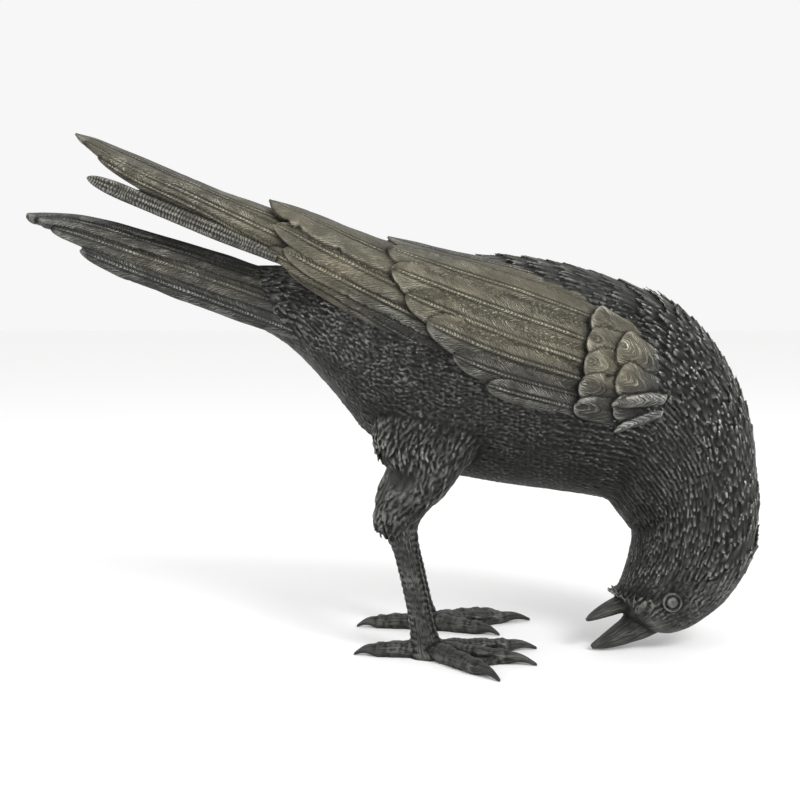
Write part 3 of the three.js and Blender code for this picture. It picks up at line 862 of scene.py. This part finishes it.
class RAVEN_OT_tufts(bpy.types.Operator):
    """Set tufts of plumage on the body and the thighs, and scales on the legs"""

    bl_idname = "raven.tufts"
    bl_label = "Tufts and scales"

    def execute(self, context):
        form = context.scene.raven_form
        sets = [self.on_trunk(*values) for values in TUFTS.values()]
        sets += [self.on_thigh(foot_y) for foot_y, _ in FEET.values()]
        sets += [self.scutes(foot_y) for foot_y, _ in FEET.values()]
        arrays = [np.concatenate(column) for column in zip(*sets)]
        self.set_tufts("wax_body_tufts", form, *arrays)
        return {"FINISHED"}

    def on_trunk(self, lengths, angles, area, length, width, rise, turn):
        """Points, normals, directions, sizes and turns of one kind of tuft, on both sides."""
        stations = np.linspace(lengths[0], lengths[1], 60)
        plain = oval_rings(BODY, stations, np.radians(np.linspace(angles[0], angles[1], 30))[None, :], 0)
        step = np.linalg.norm(np.diff(plain, axis=0), axis=2).mean(1)
        arc = np.linalg.norm(np.diff(plain, axis=1), axis=2).sum(1)
        covered = np.concatenate([[0], np.cumsum(step * (arc[1:] + arc[:-1]) / 2)])
        count = int(covered[-1] / area)
        u, v = even_places(count)
        t = np.interp(u * covered[-1], covered, stations)
        angle = np.radians(angles[0] + v * (angles[1] - angles[0]))
        t = np.concatenate([t, t])
        turns = np.concatenate([angle, -angle])
        point, normal, backward = on_body(t, turns)
        size = self.sizes(len(t), length, width, rise)
        return point, normal, backward, size, np.full(len(t), math.radians(turn))

    def sizes(self, count, length, width, rise):
        n = np.arange(count)
        vary = np.stack([0.75 + 0.5 * chance(n, n * 0 + k, 11) for k in range(3)], -1)
        return vary * (length, width, rise)

    def on_thigh(self, foot_y):
        low, high = THIGH_TUFTS["low"], THIGH_TUFTS["high"]
        count = int((high - low) * 130 / THIGH_TUFTS["area"])
        u, v = even_places(count)
        return self.on_leg(
            foot_y, low + u * (high - low), v * 2 * np.pi, THIGH_TUFTS["turn"],
            self.sizes(count, *(THIGH_TUFTS[k] for k in ("length", "width", "rise"))),
        )

    def scutes(self, foot_y):
        """Broad scales one above another down the front of the leg, and smaller ones behind."""
        z = np.arange(SCUTES["low"], SCUTES["high"], SCUTES["spacing"])
        size = np.tile([SCUTES["length"], SCUTES["width"], SCUTES["rise"]], (len(z), 1))
        front = self.on_leg(foot_y, z, np.zeros(len(z)), 0, size)
        back = self.on_leg(foot_y, z, np.full(len(z), np.pi), 0, size * (0.8, 0.6, 0.8))
        return [np.concatenate(pair) for pair in zip(front, back)]

    def on_leg(self, foot_y, z, turns, turn, size):
        heights = np.array([row[1] for row in LEG], float)
        t = np.interp(-z, -heights, np.linspace(0, 1, len(LEG)))

        def at(t, turns):
            x, z, half_length, half_width = along(LEG, t).T
            spread = 1 + (HIP_SPREAD - 1) * z / LEG[0][1]
            y = foot_y * spread + half_width * np.sin(turns)
            return np.stack([x + half_length * np.cos(turns), y, z], -1)

        small = 1e-3
        down = unit(at(t + small, turns) - at(t - small, turns))
        around = at(t, turns + small) - at(t, turns - small)
        normal = unit(np.cross(down, around))
        away = at(t, turns) - at(t, turns + np.pi)
        normal *= np.sign((normal * away).sum(1))[:, None]
        return at(t, turns), normal, down, size, np.full(len(t), math.radians(turn))

    def set_tufts(self, name, form, point, normal, backward, size, aside):
        points = bpy.data.meshes.new(name)
        points.vertices.add(len(point))
        points.vertices.foreach_set("co", row_frame(point).astype(np.float32).ravel())
        values = (("outward", normal), ("backward", backward), ("measure", size * MM))
        for label, vectors in values:
            store(points, label, vectors)
        store(points, "aside", aside)
        holder = bpy.data.objects.new(name, points)
        tuft = bpy.data.objects.new("tuft", tuft_mesh())
        for piece in (holder, tuft):
            bpy.context.scene.collection.objects.link(piece)
        tree = setting_tree()
        modifier = holder.modifiers.new("Tufts", "NODES")
        modifier.node_group = tree
        given = {"Tuft": tuft, "Size": form.tuft_size, "Seed": form.seed, "Material": None}
        for socket in tree.interface.items_tree:
            if socket.in_out == "INPUT" and given.get(socket.name) is not None:
                modifier[socket.identifier] = given[socket.name]
        mesh = evaluated_mesh(holder)
        shape = len(tuft.data.vertices)
        co = coordinates(mesh) / MM + OUTLINE_MIDDLE
        mesh.calc_loop_triangles()
        corners = np.empty(3 * len(mesh.loop_triangles), np.int32)
        mesh.loop_triangles.foreach_get("vertices", corners)
        plain = coordinates(tuft.data)
        number = np.repeat(np.arange(len(point)), shape)
        along_tuft = np.tile(plain[:, 0], len(point)) * size[number, 0]
        across = np.tile(plain[:, 1], len(point)) * size[number, 1]
        grain = np.stack([along_tuft, across, 100 + number], -1)
        for piece in (holder, tuft):
            bpy.data.objects.remove(piece)
        wear = np.where(size[number, 1] > 7, 0.3, 1.0)
        tone = layered(0, 0, wear, 0)
        mesh_object(name, Wax(co, corners.reshape(-1, 3), grain, tone))
        print("tufts:", len(point))


class RAVEN_OT_wings(bpy.types.Operator):
    """Model both folded wings feather by feather"""

    bl_idname = "raven.wings"
    bl_label = "Wings"

    def execute(self, context):
        form = context.scene.raven_form
        rooted, blade = 14, form.blade_thickness / MM

        def thickness_at(distance):
            return rooted + (blade - rooted) * smooth(distance, 185, 240)

        parts = []
        for number, row in enumerate(WING_ROWS.values()):
            seed = form.seed + 100 * (number + 1)
            parts += feather_row(on_wing, row, thickness_at, wing_khaki, seed)
        parts.append(first_quill(form.seed + 900))
        wing = joined(parts)
        mesh_object("wax_right_wing", wing)
        mesh_object("wax_left_wing", wing.mirrored())
        return {"FINISHED"}


class RAVEN_OT_tail(bpy.types.Operator):
    """Model the tail feathers"""

    bl_idname = "raven.tail"
    bl_label = "Tail"

    def execute(self, context):
        form = context.scene.raven_form

        def thickness_at(distance):
            return np.full(distance.shape, 7.0)

        half = joined(feather_row(on_tail, TAIL_ROW, thickness_at, tail_khaki, form.seed + 2000))
        mesh_object("wax_tail", joined([half, half.mirrored()]))
        return {"FINISHED"}


class RAVEN_OT_legs(bpy.types.Operator):
    """Model the legs, toes, claws and the webs between the front toes"""

    bl_idname = "raven.legs"
    bl_label = "Legs and feet"

    def execute(self, context):
        form = context.scene.raven_form
        parts = []
        for number, (foot_y, toes) in enumerate(FEET.values()):
            seed = form.seed + 3000 + 50 * number
            parts.append(self.leg(foot_y, seed))
            parts += [self.toe(h, length, foot_y, seed + i) for i, (h, length) in enumerate(toes)]
            parts += [self.web(toes[i], toes[i + 1], foot_y) for i in (0, 1)]
        mesh_object("wax_body_legs", joined(parts))
        return {"FINISHED"}

    def leg(self, foot_y, seed):
        t = np.linspace(0, 1, 260)
        turns = np.linspace(0, 2 * np.pi, 110, endpoint=False)[None, :]
        x, z, half_length, half_width = along(LEG, t).T[:, :, None]
        spread = 1 + (HIP_SPREAD - 1) * z / LEG[0][1]
        thigh = smooth(z, 78, 96)
        period = 22
        fur = grooves(z / 15, turns * period / (2 * np.pi) + 0.5 * noise(z / 20, turns, seed), seed + 1, period)
        pebble = noise(z / 1.9, turns * 15 / (2 * np.pi), seed + 4, 15)
        step = (z / 3.7) % 1
        edge = smooth(np.abs(np.cos(turns)), 0.45, 0.8)
        scaly = edge * 0.9 * (step - 0.5) + (1 - edge) * 0.35 * pebble
        relief = thigh * 0.7 * (fur - 0.6) + (1 - thigh) * (scaly - 0.2)
        rings = layered(
            x + (half_length + relief) * np.cos(turns),
            foot_y * spread + (half_width + relief) * np.sin(turns),
            z + 0 * turns,
        )
        far = distances(rings)
        wear = 0.3 + 0.7 * thigh
        return lofted(rings, layered(far, turns * 11, 70), layered(0, 0, wear + 0 * far, 0))

    def toe(self, heading, length, foot_y, seed):
        turn = math.radians(heading)
        forward = np.array([math.cos(turn), math.sin(turn), 0])
        sideways = np.array([-math.sin(turn), math.cos(turn), 0])
        t = np.linspace(0, 1, 110)[:, None]
        around = np.linspace(0, 2 * np.pi, 40, endpoint=False)[None, :]
        claw = np.clip((t - 0.7) / 0.3, 0, 1)
        pad = (1 + 0.04 * np.cos(2 * np.pi * 3 * t / 0.7)) * (1 - 0.36 * t)
        into_claw = smooth(t, 0.67, 0.73)
        radius = 6.25 * (pad * (1 - into_claw) + 0.66 * (1 - 0.8 * claw) * into_claw)
        height = radius * 0.75 + 2 * np.sin(np.pi * claw)
        scales = np.abs(np.sin(np.pi * t * length / 3.4)) ** 0.5 - 0.8
        rough = noise(t * length / 1.8, around * 9 / (2 * np.pi), seed, 9)
        relief = (1 - into_claw) * (0.3 * scales * smooth(np.cos(around), 0, 0.6) + 0.28 * rough)
        centre = np.array([TOES_MEET_AT, foot_y, 0]) + forward * (t * length)
        reach = (radius + relief) * 1.15 * np.sin(around)
        rings = centre[:, None, :] + reach[..., None] * sideways
        rings[..., 2] = height + (radius + relief) * np.cos(around)
        return lofted(rings, layered(t * length, around * 5, 71), (0, 0, 0.25, 0))

    def web(self, toe_a, toe_b, foot_y):
        share = np.linspace(0.12, 0.72, 40)
        foot = np.array([TOES_MEET_AT, foot_y, 0])
        ends = []
        for heading, length in (toe_a, toe_b):
            turn = math.radians(heading)
            ends.append(foot + share[:, None] * length * np.array([math.cos(turn), math.sin(turn), 0]))
        across = np.linspace(0, 1, 25)
        dip = 4 * across * (1 - across)
        flat = ends[0][:, None, :] * (1 - across)[None, :, None] + ends[1][:, None, :] * across[None, :, None]
        flat = foot + (flat - foot) * (1 - share[:, None] / 4 * dip)[..., None]
        top, under = flat.copy(), flat[:, ::-1].copy()
        folds = 0.35 * np.sin(across * 2 * np.pi * 4)
        top[..., 2] = 6.2 - 2 * dip + folds
        under[..., 2] = -1
        rings = np.concatenate([top, under], axis=1)
        return lofted(rings, (0, 0, 71), (0, 0, 0.25, 0))


# Meshes of the casting: the start of their wax parts' names, the casting step in millimetres,
# and the most triangles
CASTINGS = {
    "raven_body": ("wax_body", 0.62, 196000),
    "raven_right_wing": ("wax_right_wing", 0.5, 190000),
    "raven_left_wing": ("wax_left_wing", 0.5, 150000),
    "raven_tail": ("wax_tail", 0.55, 90000),
}

# Places where the casting's surface runs on without a crease: centre, radii and reach
BLENDS = (
    ((24, -38, 141), (42, 26, 22), 13),
    ((24, 38, 141), (42, 26, 22), 13),
    ((148, -20, 27), (20, 24, 20), 6),
)


class RAVEN_OT_cast(bpy.types.Operator):
    """Join the wax parts into the casting's skins, reduce them and give them their patina"""

    bl_idname = "raven.cast"
    bl_label = "Cast in bronze"

    def execute(self, context):
        material = bronze_material()
        for name, (start, step, triangles) in CASTINGS.items():
            waxes = take_waxes(start)
            if not waxes:
                raise RuntimeError(f"model the wax parts of {name} first")
            points = np.vstack([coordinates(o.data) for o in waxes])
            grain = np.vstack([stored(o.data, "grain", 3) for o in waxes])
            tone = np.vstack([stored(o.data, "tone", 4) for o in waxes])
            casting = self.skin(name, waxes, step * MM, triangles)
            blend_joints(casting.data)
            self.fit_box(casting.data)
            transfer(casting.data, points, grain, tone)
            casting.data.materials.clear()
            casting.data.materials.append(material)
            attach(casting, "root")
            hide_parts("raven")
        return {"FINISHED"}

    def skin(self, name, waxes, step, triangles):
        faces, points, start = [], [], 0
        for wax in waxes:
            corners = np.empty(len(wax.data.loops), np.int32)
            wax.data.loops.foreach_get("vertex_index", corners)
            faces.append(corners.reshape(-1, 3) + start)
            points.append(coordinates(wax.data))
            start += len(wax.data.vertices)
        mesh = plain_mesh(name, np.vstack(points), np.vstack(faces))
        casting = bpy.data.objects.new(name, mesh)
        bpy.context.scene.collection.objects.link(casting)
        for wax in waxes:
            bpy.data.objects.remove(wax)
        with_modifier(casting, "REMESH", mode="VOXEL", voxel_size=step)
        with_modifier(casting, "TRIANGULATE")
        count = len(casting.data.polygons)
        with_modifier(casting, "DECIMATE", ratio=min(1, triangles / count))
        reduced = casting.data
        corners = np.empty(len(reduced.loops), np.int32)
        reduced.loops.foreach_get("vertex_index", corners)
        casting.data = plain_mesh(name, *main_skin(coordinates(reduced), corners.reshape(-1, 3)))
        bpy.data.meshes.remove(reduced)
        casting.data.shade_smooth()
        print(name, "from", count, "to", len(casting.data.polygons), "triangles")
        return casting

    def fit_box(self, mesh):
        """Keeps the casting on the ground and inside the solid's box."""
        low, high = (np.array(corner) for corner in CAD_BOX)
        co = np.clip(coordinates(mesh), low, high)
        mesh.vertices.foreach_set("co", co.astype(np.float32).ravel())
        mesh.update()


def main_skin(points, faces):
    """The largest skin whose faces share edges, without the crumbs that joining leaves beside it."""
    faces = faces.astype(np.int64)
    pairs = np.sort(np.vstack([faces[:, [0, 1]], faces[:, [1, 2]], faces[:, [2, 0]]]), axis=1)
    edge = pairs[:, 0] * len(points) + pairs[:, 1]
    order = np.argsort(edge, kind="stable")
    shared = edge[order][1:] == edge[order][:-1]
    a, b = order[:-1][shared] % len(faces), order[1:][shared] % len(faces)
    island, settled = np.arange(len(faces)), False
    while not settled:
        lowest = island.copy()
        np.minimum.at(lowest, a, island[b])
        np.minimum.at(lowest, b, island[a])
        lowest = lowest[lowest]
        settled = bool((lowest == island).all())
        island = lowest
    faces = faces[island == np.bincount(island).argmax()]
    kept, faces = np.unique(faces, return_inverse=True)
    return points[kept], faces.reshape(-1, 3)


class Neighbours:
    """A mesh's edges, or the chosen ones, for smoothing values over its points."""

    def __init__(self, mesh, chosen=None):
        edges = np.empty(2 * len(mesh.edges), np.int32)
        mesh.edges.foreach_get("vertices", edges)
        a, b = edges.reshape(-1, 2).T
        self.ends, self.starts = np.concatenate([a, b]), np.concatenate([b, a])
        co = coordinates(mesh)
        self.edge = float(np.linalg.norm(co[a] - co[b], axis=1).mean()) / MM
        if chosen is not None:
            self.ends, self.starts = self.ends[chosen], self.starts[chosen]
        self.size = len(mesh.vertices)
        count = np.bincount(self.ends, minlength=self.size)
        self.alone, self.count = count == 0, np.maximum(count, 1)

    def smoothed(self, values, radius, start=0):
        """Values smoothed over a radius in millimetres, from a start that they already have."""
        turns = int(round((radius / self.edge) ** 2)) - int(round((start / self.edge) ** 2))
        for _ in range(max(1, turns)):
            columns = [np.bincount(self.ends, c[self.starts], self.size) / self.count for c in values.T]
            values = np.where(self.alone[:, None], values, np.stack(columns, -1))
        return values


def blend_joints(mesh):
    """Fills the crease where one form runs into another, and keeps the carving on it."""
    near = Neighbours(mesh)
    for centre, radii, reach in BLENDS:
        co = coordinates(mesh).astype(float)
        away = np.linalg.norm((co - row_frame(centre)) / (np.array(radii) * MM), axis=1)
        weight = 1 - smooth(away, 0.45, 1)
        if not weight.any():
            continue
        form = near.smoothed(co, 3)
        carving = co - form
        depth = np.maximum(np.linalg.norm(carving, axis=1, keepdims=True), 1e-9)
        carving *= np.minimum(1, 0.6 * MM / depth)
        flowing = near.smoothed(form, reach, 3)
        co += weight[:, None] * (flowing + carving - co)
        mesh.vertices.foreach_set("co", co.astype(np.float32).ravel())
    mesh.update()


def transfer(mesh, points, grain, tone):
    """Gives every point of the skin the values of the nearest wax point, how far it stands out
    of its surroundings finely and broadly, and how far it faces down, for the painted shade on the underside."""
    tree = KDTree(len(points))
    for index, point in enumerate(points.tolist()):
        tree.insert(point, index)
    tree.balance()
    co = coordinates(mesh)
    nearest = np.array([tree.find(point)[1] for point in co.tolist()])
    near = Neighbours(mesh)
    lines, number = grain[nearest, :2].astype(float), grain[nearest, 2]
    same = Neighbours(mesh, number[near.starts] == number[near.ends])
    lines = same.smoothed(lines, 1.8)
    tone = tone[nearest].astype(float)
    khaki = near.smoothed(tone[:, :1], 3)
    tone = np.hstack([khaki, tone[:, 1:]])
    normal = np.empty(3 * len(co), np.float32)
    mesh.vertices.foreach_get("normal", normal)
    normal = normal.reshape(-1, 3)
    form = near.smoothed(co.astype(float), 1.6)
    fine = ((co - form) * normal).sum(1) / MM
    form = near.smoothed(form, 6, 1.6)
    broad = ((co - form) * normal).sum(1) / MM
    broad_normal = unit(near.smoothed(normal.astype(float), 4))
    store(mesh, "grain", np.hstack([lines, number[:, None] * 3.7]))
    store(mesh, "tone", tone)
    store(mesh, "fine_relief", fine)
    store(mesh, "broad_relief", broad)
    # How far a point faces down, which darkens the underside as painted shade
    store(mesh, "underside", smooth(-broad_normal[:, 2], -0.1, 0.8))


# Patina


def new_group(name, inputs, outputs):
    group = bpy.data.node_groups.new(name, "ShaderNodeTree")
    for kind, sockets in (("INPUT", inputs), ("OUTPUT", outputs)):
        for label, socket_type in sockets:
            group.interface.new_socket(name=label, in_out=kind, socket_type=socket_type)
    return group, group.nodes.new("NodeGroupInput"), group.nodes.new("NodeGroupOutput")


def add(tree, kind, links=(), **values):
    """New node with values set on it, and its inputs linked or set."""
    node = tree.nodes.new(kind)
    for name, value in values.items():
        setattr(node, name, value)
    for name, source in dict(links).items():
        socket = node.inputs[name]
        if isinstance(source, bpy.types.NodeSocket):
            tree.links.new(source, socket)
        else:
            socket.default_value = source
    return node


def remapped(tree, value, low, high, to_low=0, to_high=1):
    node = add(tree, "ShaderNodeMapRange", {"Value": value}, interpolation_type="SMOOTHSTEP")
    for name, number in zip(("From Min", "From Max", "To Min", "To Max"), (low, high, to_low, to_high)):
        if isinstance(number, bpy.types.NodeSocket):
            tree.links.new(number, node.inputs[name])
        else:
            node.inputs[name].default_value = number
    return node.outputs["Result"]


def arithmetic(tree, operation, a, b):
    node = add(tree, "ShaderNodeMath", {0: a, 1: b}, operation=operation)
    return node.outputs[0]


def mixed(tree, factor, a, b, blend="MIX"):
    node = add(tree, "ShaderNodeMix", data_type="RGBA", blend_type=blend)
    for index, source in ((0, factor), (6, a), (7, b)):
        if isinstance(source, bpy.types.NodeSocket):
            tree.links.new(source, node.inputs[index])
        else:
            node.inputs[index].default_value = source
    return node.outputs[2]


def mixed_value(tree, factor, a, b):
    node = add(tree, "ShaderNodeMix", {0: factor, 2: a, 3: b}, data_type="FLOAT")
    return node.outputs[0]


def hair_group():
    """Fine strands along the plumage, as a height from 0 to 1."""
    group, inputs, outputs = new_group(
        "Plumage strands",
        [("Grain", "NodeSocketVector"), ("Length", "NodeSocketFloat"), ("Width", "NodeSocketFloat")],
        [("Height", "NodeSocketFloat")],
    )
    size = add(group, "ShaderNodeCombineXYZ", {"X": inputs.outputs["Length"], "Y": inputs.outputs["Width"], "Z": 1.0})
    scaled = add(group, "ShaderNodeVectorMath", {0: inputs.outputs["Grain"], 1: size.outputs[0]}, operation="DIVIDE")
    fibres = add(group, "ShaderNodeTexNoise", {"Vector": scaled.outputs[0], "Scale": 1.0, "Detail": 2.0})
    height = remapped(group, fibres.outputs["Fac"], 0.34, 0.66)
    group.links.new(height, outputs.inputs["Height"])
    return group


def barb_group():
    """Even barbs across a feather's vane, as a height from 0 to 1."""
    group, inputs, outputs = new_group(
        "Feather barbs",
        [("Grain", "NodeSocketVector"), ("Spacing", "NodeSocketFloat"), ("Wander", "NodeSocketFloat")],
        [("Height", "NodeSocketFloat")],
    )
    parts = add(group, "ShaderNodeSeparateXYZ", {"Vector": inputs.outputs["Grain"]})
    bends = add(group, "ShaderNodeTexNoise", {"Vector": inputs.outputs["Grain"], "Scale": 0.11, "Detail": 1.0})
    shift = arithmetic(group, "MULTIPLY", bends.outputs["Fac"], inputs.outputs["Wander"])
    place = arithmetic(group, "DIVIDE", arithmetic(group, "ADD", parts.outputs["Y"], shift), inputs.outputs["Spacing"])
    turn = arithmetic(group, "MULTIPLY", place, 2 * math.pi)
    wave = arithmetic(group, "SINE", turn, 0.0)
    group.links.new(remapped(group, wave, -1.0, 0.7), outputs.inputs["Height"])
    return group


def cast_grain_group():
    """Small pits and lumps of a cast and chased surface, as a height from 0 to 1."""
    group, inputs, outputs = new_group(
        "Cast grain",
        [("Position", "NodeSocketVector"), ("Scale", "NodeSocketFloat")],
        [("Height", "NodeSocketFloat"), ("Patches", "NodeSocketFloat")],
    )
    scaled = add(
        group, "ShaderNodeVectorMath", {0: inputs.outputs["Position"], "Scale": inputs.outputs["Scale"]},
        operation="SCALE",
    )
    lumps = add(group, "ShaderNodeTexNoise", {"Vector": scaled.outputs[0], "Scale": 1.0, "Detail": 3.0})
    patches = add(group, "ShaderNodeTexNoise", {"Vector": scaled.outputs[0], "Scale": 0.06, "Detail": 3.0})
    group.links.new(lumps.outputs["Fac"], outputs.inputs["Height"])
    group.links.new(patches.outputs["Fac"], outputs.inputs["Patches"])
    return group


def rub_group():
    """Where the patina is rubbed off and where it stays black, from the relief; broad recesses are darkened partly as
    patina and partly as painted shade.
    """
    group, inputs, outputs = new_group(
        "Rubbed relief",
        [
            ("Fine", "NodeSocketFloat"), ("Broad", "NodeSocketFloat"), ("Strands", "NodeSocketFloat"),
            ("Patches", "NodeSocketFloat"), ("Wear", "NodeSocketFloat"), ("Seam", "NodeSocketFloat"),
        ],
        [("Rubbed", "NodeSocketFloat"), ("Hollow", "NodeSocketFloat")],
    )
    given = inputs.outputs
    broken = arithmetic(group, "MULTIPLY", arithmetic(group, "SUBTRACT", given["Strands"], 0.5), 0.28)
    height = arithmetic(group, "ADD", given["Fine"], broken)
    high = remapped(group, height, 0.0, 0.22)
    proud = remapped(group, given["Broad"], -0.6, 0.8)
    patch = remapped(group, given["Patches"], 0.38, 0.62, 0.3, 1.0)
    rubbed = arithmetic(group, "MULTIPLY", arithmetic(group, "MULTIPLY", high, proud), patch)
    worn = arithmetic(group, "MULTIPLY", rubbed, given["Wear"])
    low = remapped(group, height, 0.0, -0.2)
    # Broad recesses darken, partly as patina and partly as painted shade
    broad_recess_patina_and_shade = remapped(group, given["Broad"], -0.1, -1.0)
    groove_patina_and_shade = arithmetic(group, "MAXIMUM", arithmetic(group, "MAXIMUM", low, broad_recess_patina_and_shade), given["Seam"])
    group.links.new(worn, outputs.inputs["Rubbed"])
    group.links.new(groove_patina_and_shade, outputs.inputs["Hollow"])
    return group


def placed(tree, group, links):
    node = add(tree, "ShaderNodeGroup", node_tree=group)
    for name, source in links.items():
        if isinstance(source, bpy.types.NodeSocket):
            tree.links.new(source, node.inputs[name])
        else:
            node.inputs[name].default_value = source
    return node


def rgba(colour):
    return (*colour, 1.0)


def bronze_material():
    """Dark bronze patina, rubbed lighter on what stands out, khaki on the wings, darkened in broad recesses partly as
    patina and partly as painted shade, and with painted shade on the underside.
    """
    patina = bpy.context.scene.raven_patina
    material = bpy.data.materials.new("patinated_bronze")
    material.use_nodes = True
    tree = material.node_tree
    shader = tree.nodes["Principled BSDF"]
    position = add(tree, "ShaderNodeTexCoord").outputs["Object"]
    reading = {
        name: add(tree, "ShaderNodeAttribute", attribute_name=name)
        for name in ("grain", "tone", "fine_relief", "broad_relief", "underside")
    }
    tone = add(tree, "ShaderNodeSeparateColor", {"Color": reading["tone"].outputs["Color"]}).outputs
    khaki, seam, wear = (tone[name] for name in ("Red", "Green", "Blue"))
    barbed = reading["tone"].outputs["Alpha"]
    grain = reading["grain"].outputs["Vector"]
    hair = placed(tree, hair_group(), {"Grain": grain, "Length": 12.0, "Width": 0.95}).outputs["Height"]
    barbs = placed(tree, barb_group(), {"Grain": grain, "Spacing": 1.9, "Wander": 5.0}).outputs["Height"]
    strands = mixed_value(tree, arithmetic(tree, "MULTIPLY", barbed, 0.7), hair, barbs)
    cast = placed(tree, cast_grain_group(), {"Position": position, "Scale": 1400.0})
    rub = placed(
        tree, rub_group(),
        {
            "Fine": reading["fine_relief"].outputs["Fac"], "Broad": reading["broad_relief"].outputs["Fac"],
            "Strands": strands, "Patches": cast.outputs["Patches"], "Wear": wear, "Seam": seam,
        },
    )
    body = mixed(tree, khaki, rgba(patina.dark), rgba(patina.khaki))
    bright = mixed(tree, khaki, rgba(patina.rubbed), rgba(patina.khaki_rubbed))
    rubbed = mixed(tree, rub.outputs["Rubbed"], body, bright)
    # Grooves, seams and broad recesses darkened: patina, with painted shade in the broad recesses
    groove_patina_and_shade = mixed(tree, arithmetic(tree, "MULTIPLY", rub.outputs["Hollow"], 0.85), rubbed, rgba(patina.groove_patina_and_shade))
    # Painted shade: surfaces that face down are darkened towards the grooves' dark colour
    below = arithmetic(tree, "MULTIPLY", reading["underside"].outputs["Fac"], 0.5)
    shaded = mixed(tree, below, groove_patina_and_shade, rgba(patina.groove_patina_and_shade))
    tree.links.new(shaded, shader.inputs["Base Color"])
    gloss = remapped(tree, rub.outputs["Rubbed"], 0.0, 1.0, 0.5, 0.38)
    tree.links.new(gloss, shader.inputs["Roughness"])
    shader.inputs["Metallic"].default_value = patina.metallic
    carved = add(tree, "ShaderNodeBump", {"Height": strands, "Strength": 0.7, "Distance": 0.0007})
    pitted = add(
        tree, "ShaderNodeBump",
        {"Height": cast.outputs["Height"], "Strength": 0.3, "Distance": 0.0003, "Normal": carved.outputs["Normal"]},
    )
    tree.links.new(pitted.outputs["Normal"], shader.inputs["Normal"])
    return material


class RAVEN_OT_stage(bpy.types.Operator):
    """Set up the floor, the lights and the camera"""

    bl_idname = "raven.stage"
    bl_label = "Floor, light and camera"

    def execute(self, context):
        stage = context.scene.raven_stage
        self.floor(stage)
        self.light("key", (1.1, -1.5, 1.5), 0.9, stage.key)
        self.light("fill", (-1.6, -1.2, 1.2), 1.4, stage.fill)
        self.world(stage)
        self.camera(stage)
        context.scene.view_settings.view_transform = "Standard"
        return {"FINISHED"}

    def floor(self, stage):
        mesh = bpy.data.meshes.new("floor")
        half = 12
        mesh.from_pydata([(-half, -half, 0), (half, -half, 0), (half, half, 0), (-half, half, 0)], [], [(0, 1, 2, 3)])
        floor = bpy.data.objects.new("floor", mesh)
        bpy.context.scene.collection.objects.link(floor)
        material = bpy.data.materials.new("pale_floor")
        material.use_nodes = True
        shader = material.node_tree.nodes["Principled BSDF"]
        shader.inputs["Base Color"].default_value = rgba(stage.floor)
        shader.inputs["Roughness"].default_value = 0.9
        mesh.materials.append(material)

    def light(self, name, place, size, power):
        data = bpy.data.lights.new(name, "AREA")
        data.shape = "DISK"
        data.size = size
        data.energy = power
        lamp = bpy.data.objects.new(name, data)
        aim = Vector((0, 0, 0.14)) - Vector(place)
        lamp.matrix_world = Matrix.Translation(place) @ aim.to_track_quat("-Z", "Y").to_matrix().to_4x4()
        bpy.context.scene.collection.objects.link(lamp)

    def world(self, stage):
        world = bpy.data.worlds.new("studio")
        world.use_nodes = True
        background = world.node_tree.nodes["Background"]
        background.inputs["Color"].default_value = (1, 1, 1, 1)
        background.inputs["Strength"].default_value = stage.sky
        bpy.context.scene.world = world

    def camera(self, stage):
        data = bpy.data.cameras.new("camera")
        data.sensor_width = 36
        data.lens = stage.lens
        camera = bpy.data.objects.new("camera", data)
        aside = -OUTLINE_MIDDLE[0] * MM
        back = -stage.distance - OUTLINE_MIDDLE[1] * MM
        turn = Matrix.Rotation(math.pi / 2 - stage.pitch, 4, "X")
        camera.matrix_world = Matrix.Translation((aside, back, stage.eye_height)) @ turn
        bpy.context.scene.collection.objects.link(camera)
        bpy.context.scene.camera = camera


STEPS = (
    RAVEN_OT_body, RAVEN_OT_legs, RAVEN_OT_tufts, RAVEN_OT_wings, RAVEN_OT_tail, RAVEN_OT_cast,
    RAVEN_OT_stage,
)
GROUPS = {"raven_form": RavenForm, "raven_patina": RavenPatina, "raven_stage": RavenStage}


class RAVEN_PT_panel(bpy.types.Panel):
    """Lists the raven's steps and settings"""

    bl_idname = "RAVEN_PT_panel"
    bl_label = "Raven"
    bl_space_type = "VIEW_3D"
    bl_region_type = "UI"
    bl_category = "Raven"

    def draw(self, context):
        for name, group in GROUPS.items():
            box = self.layout.box()
            for setting in group.__annotations__:
                box.prop(getattr(context.scene, name), setting)
        for step in STEPS:
            self.layout.operator(step.bl_idname)


CLASSES = (*GROUPS.values(), *STEPS, RAVEN_PT_panel)


def register():
    for cls in CLASSES:
        bpy.utils.register_class(cls)
    for name, group in GROUPS.items():
        setattr(bpy.types.Scene, name, bpy.props.PointerProperty(type=group))


def unregister():
    for name in GROUPS:
        delattr(bpy.types.Scene, name)
    for cls in reversed(CLASSES):
        bpy.utils.unregister_class(cls)


def main():
    register()
    bpy.ops.raven.body()
    bpy.ops.raven.legs()
    bpy.ops.raven.tufts()
    bpy.ops.raven.wings()
    bpy.ops.raven.tail()
    bpy.ops.raven.cast()
    bpy.ops.raven.stage()


if __name__ == "__main__":
    main()
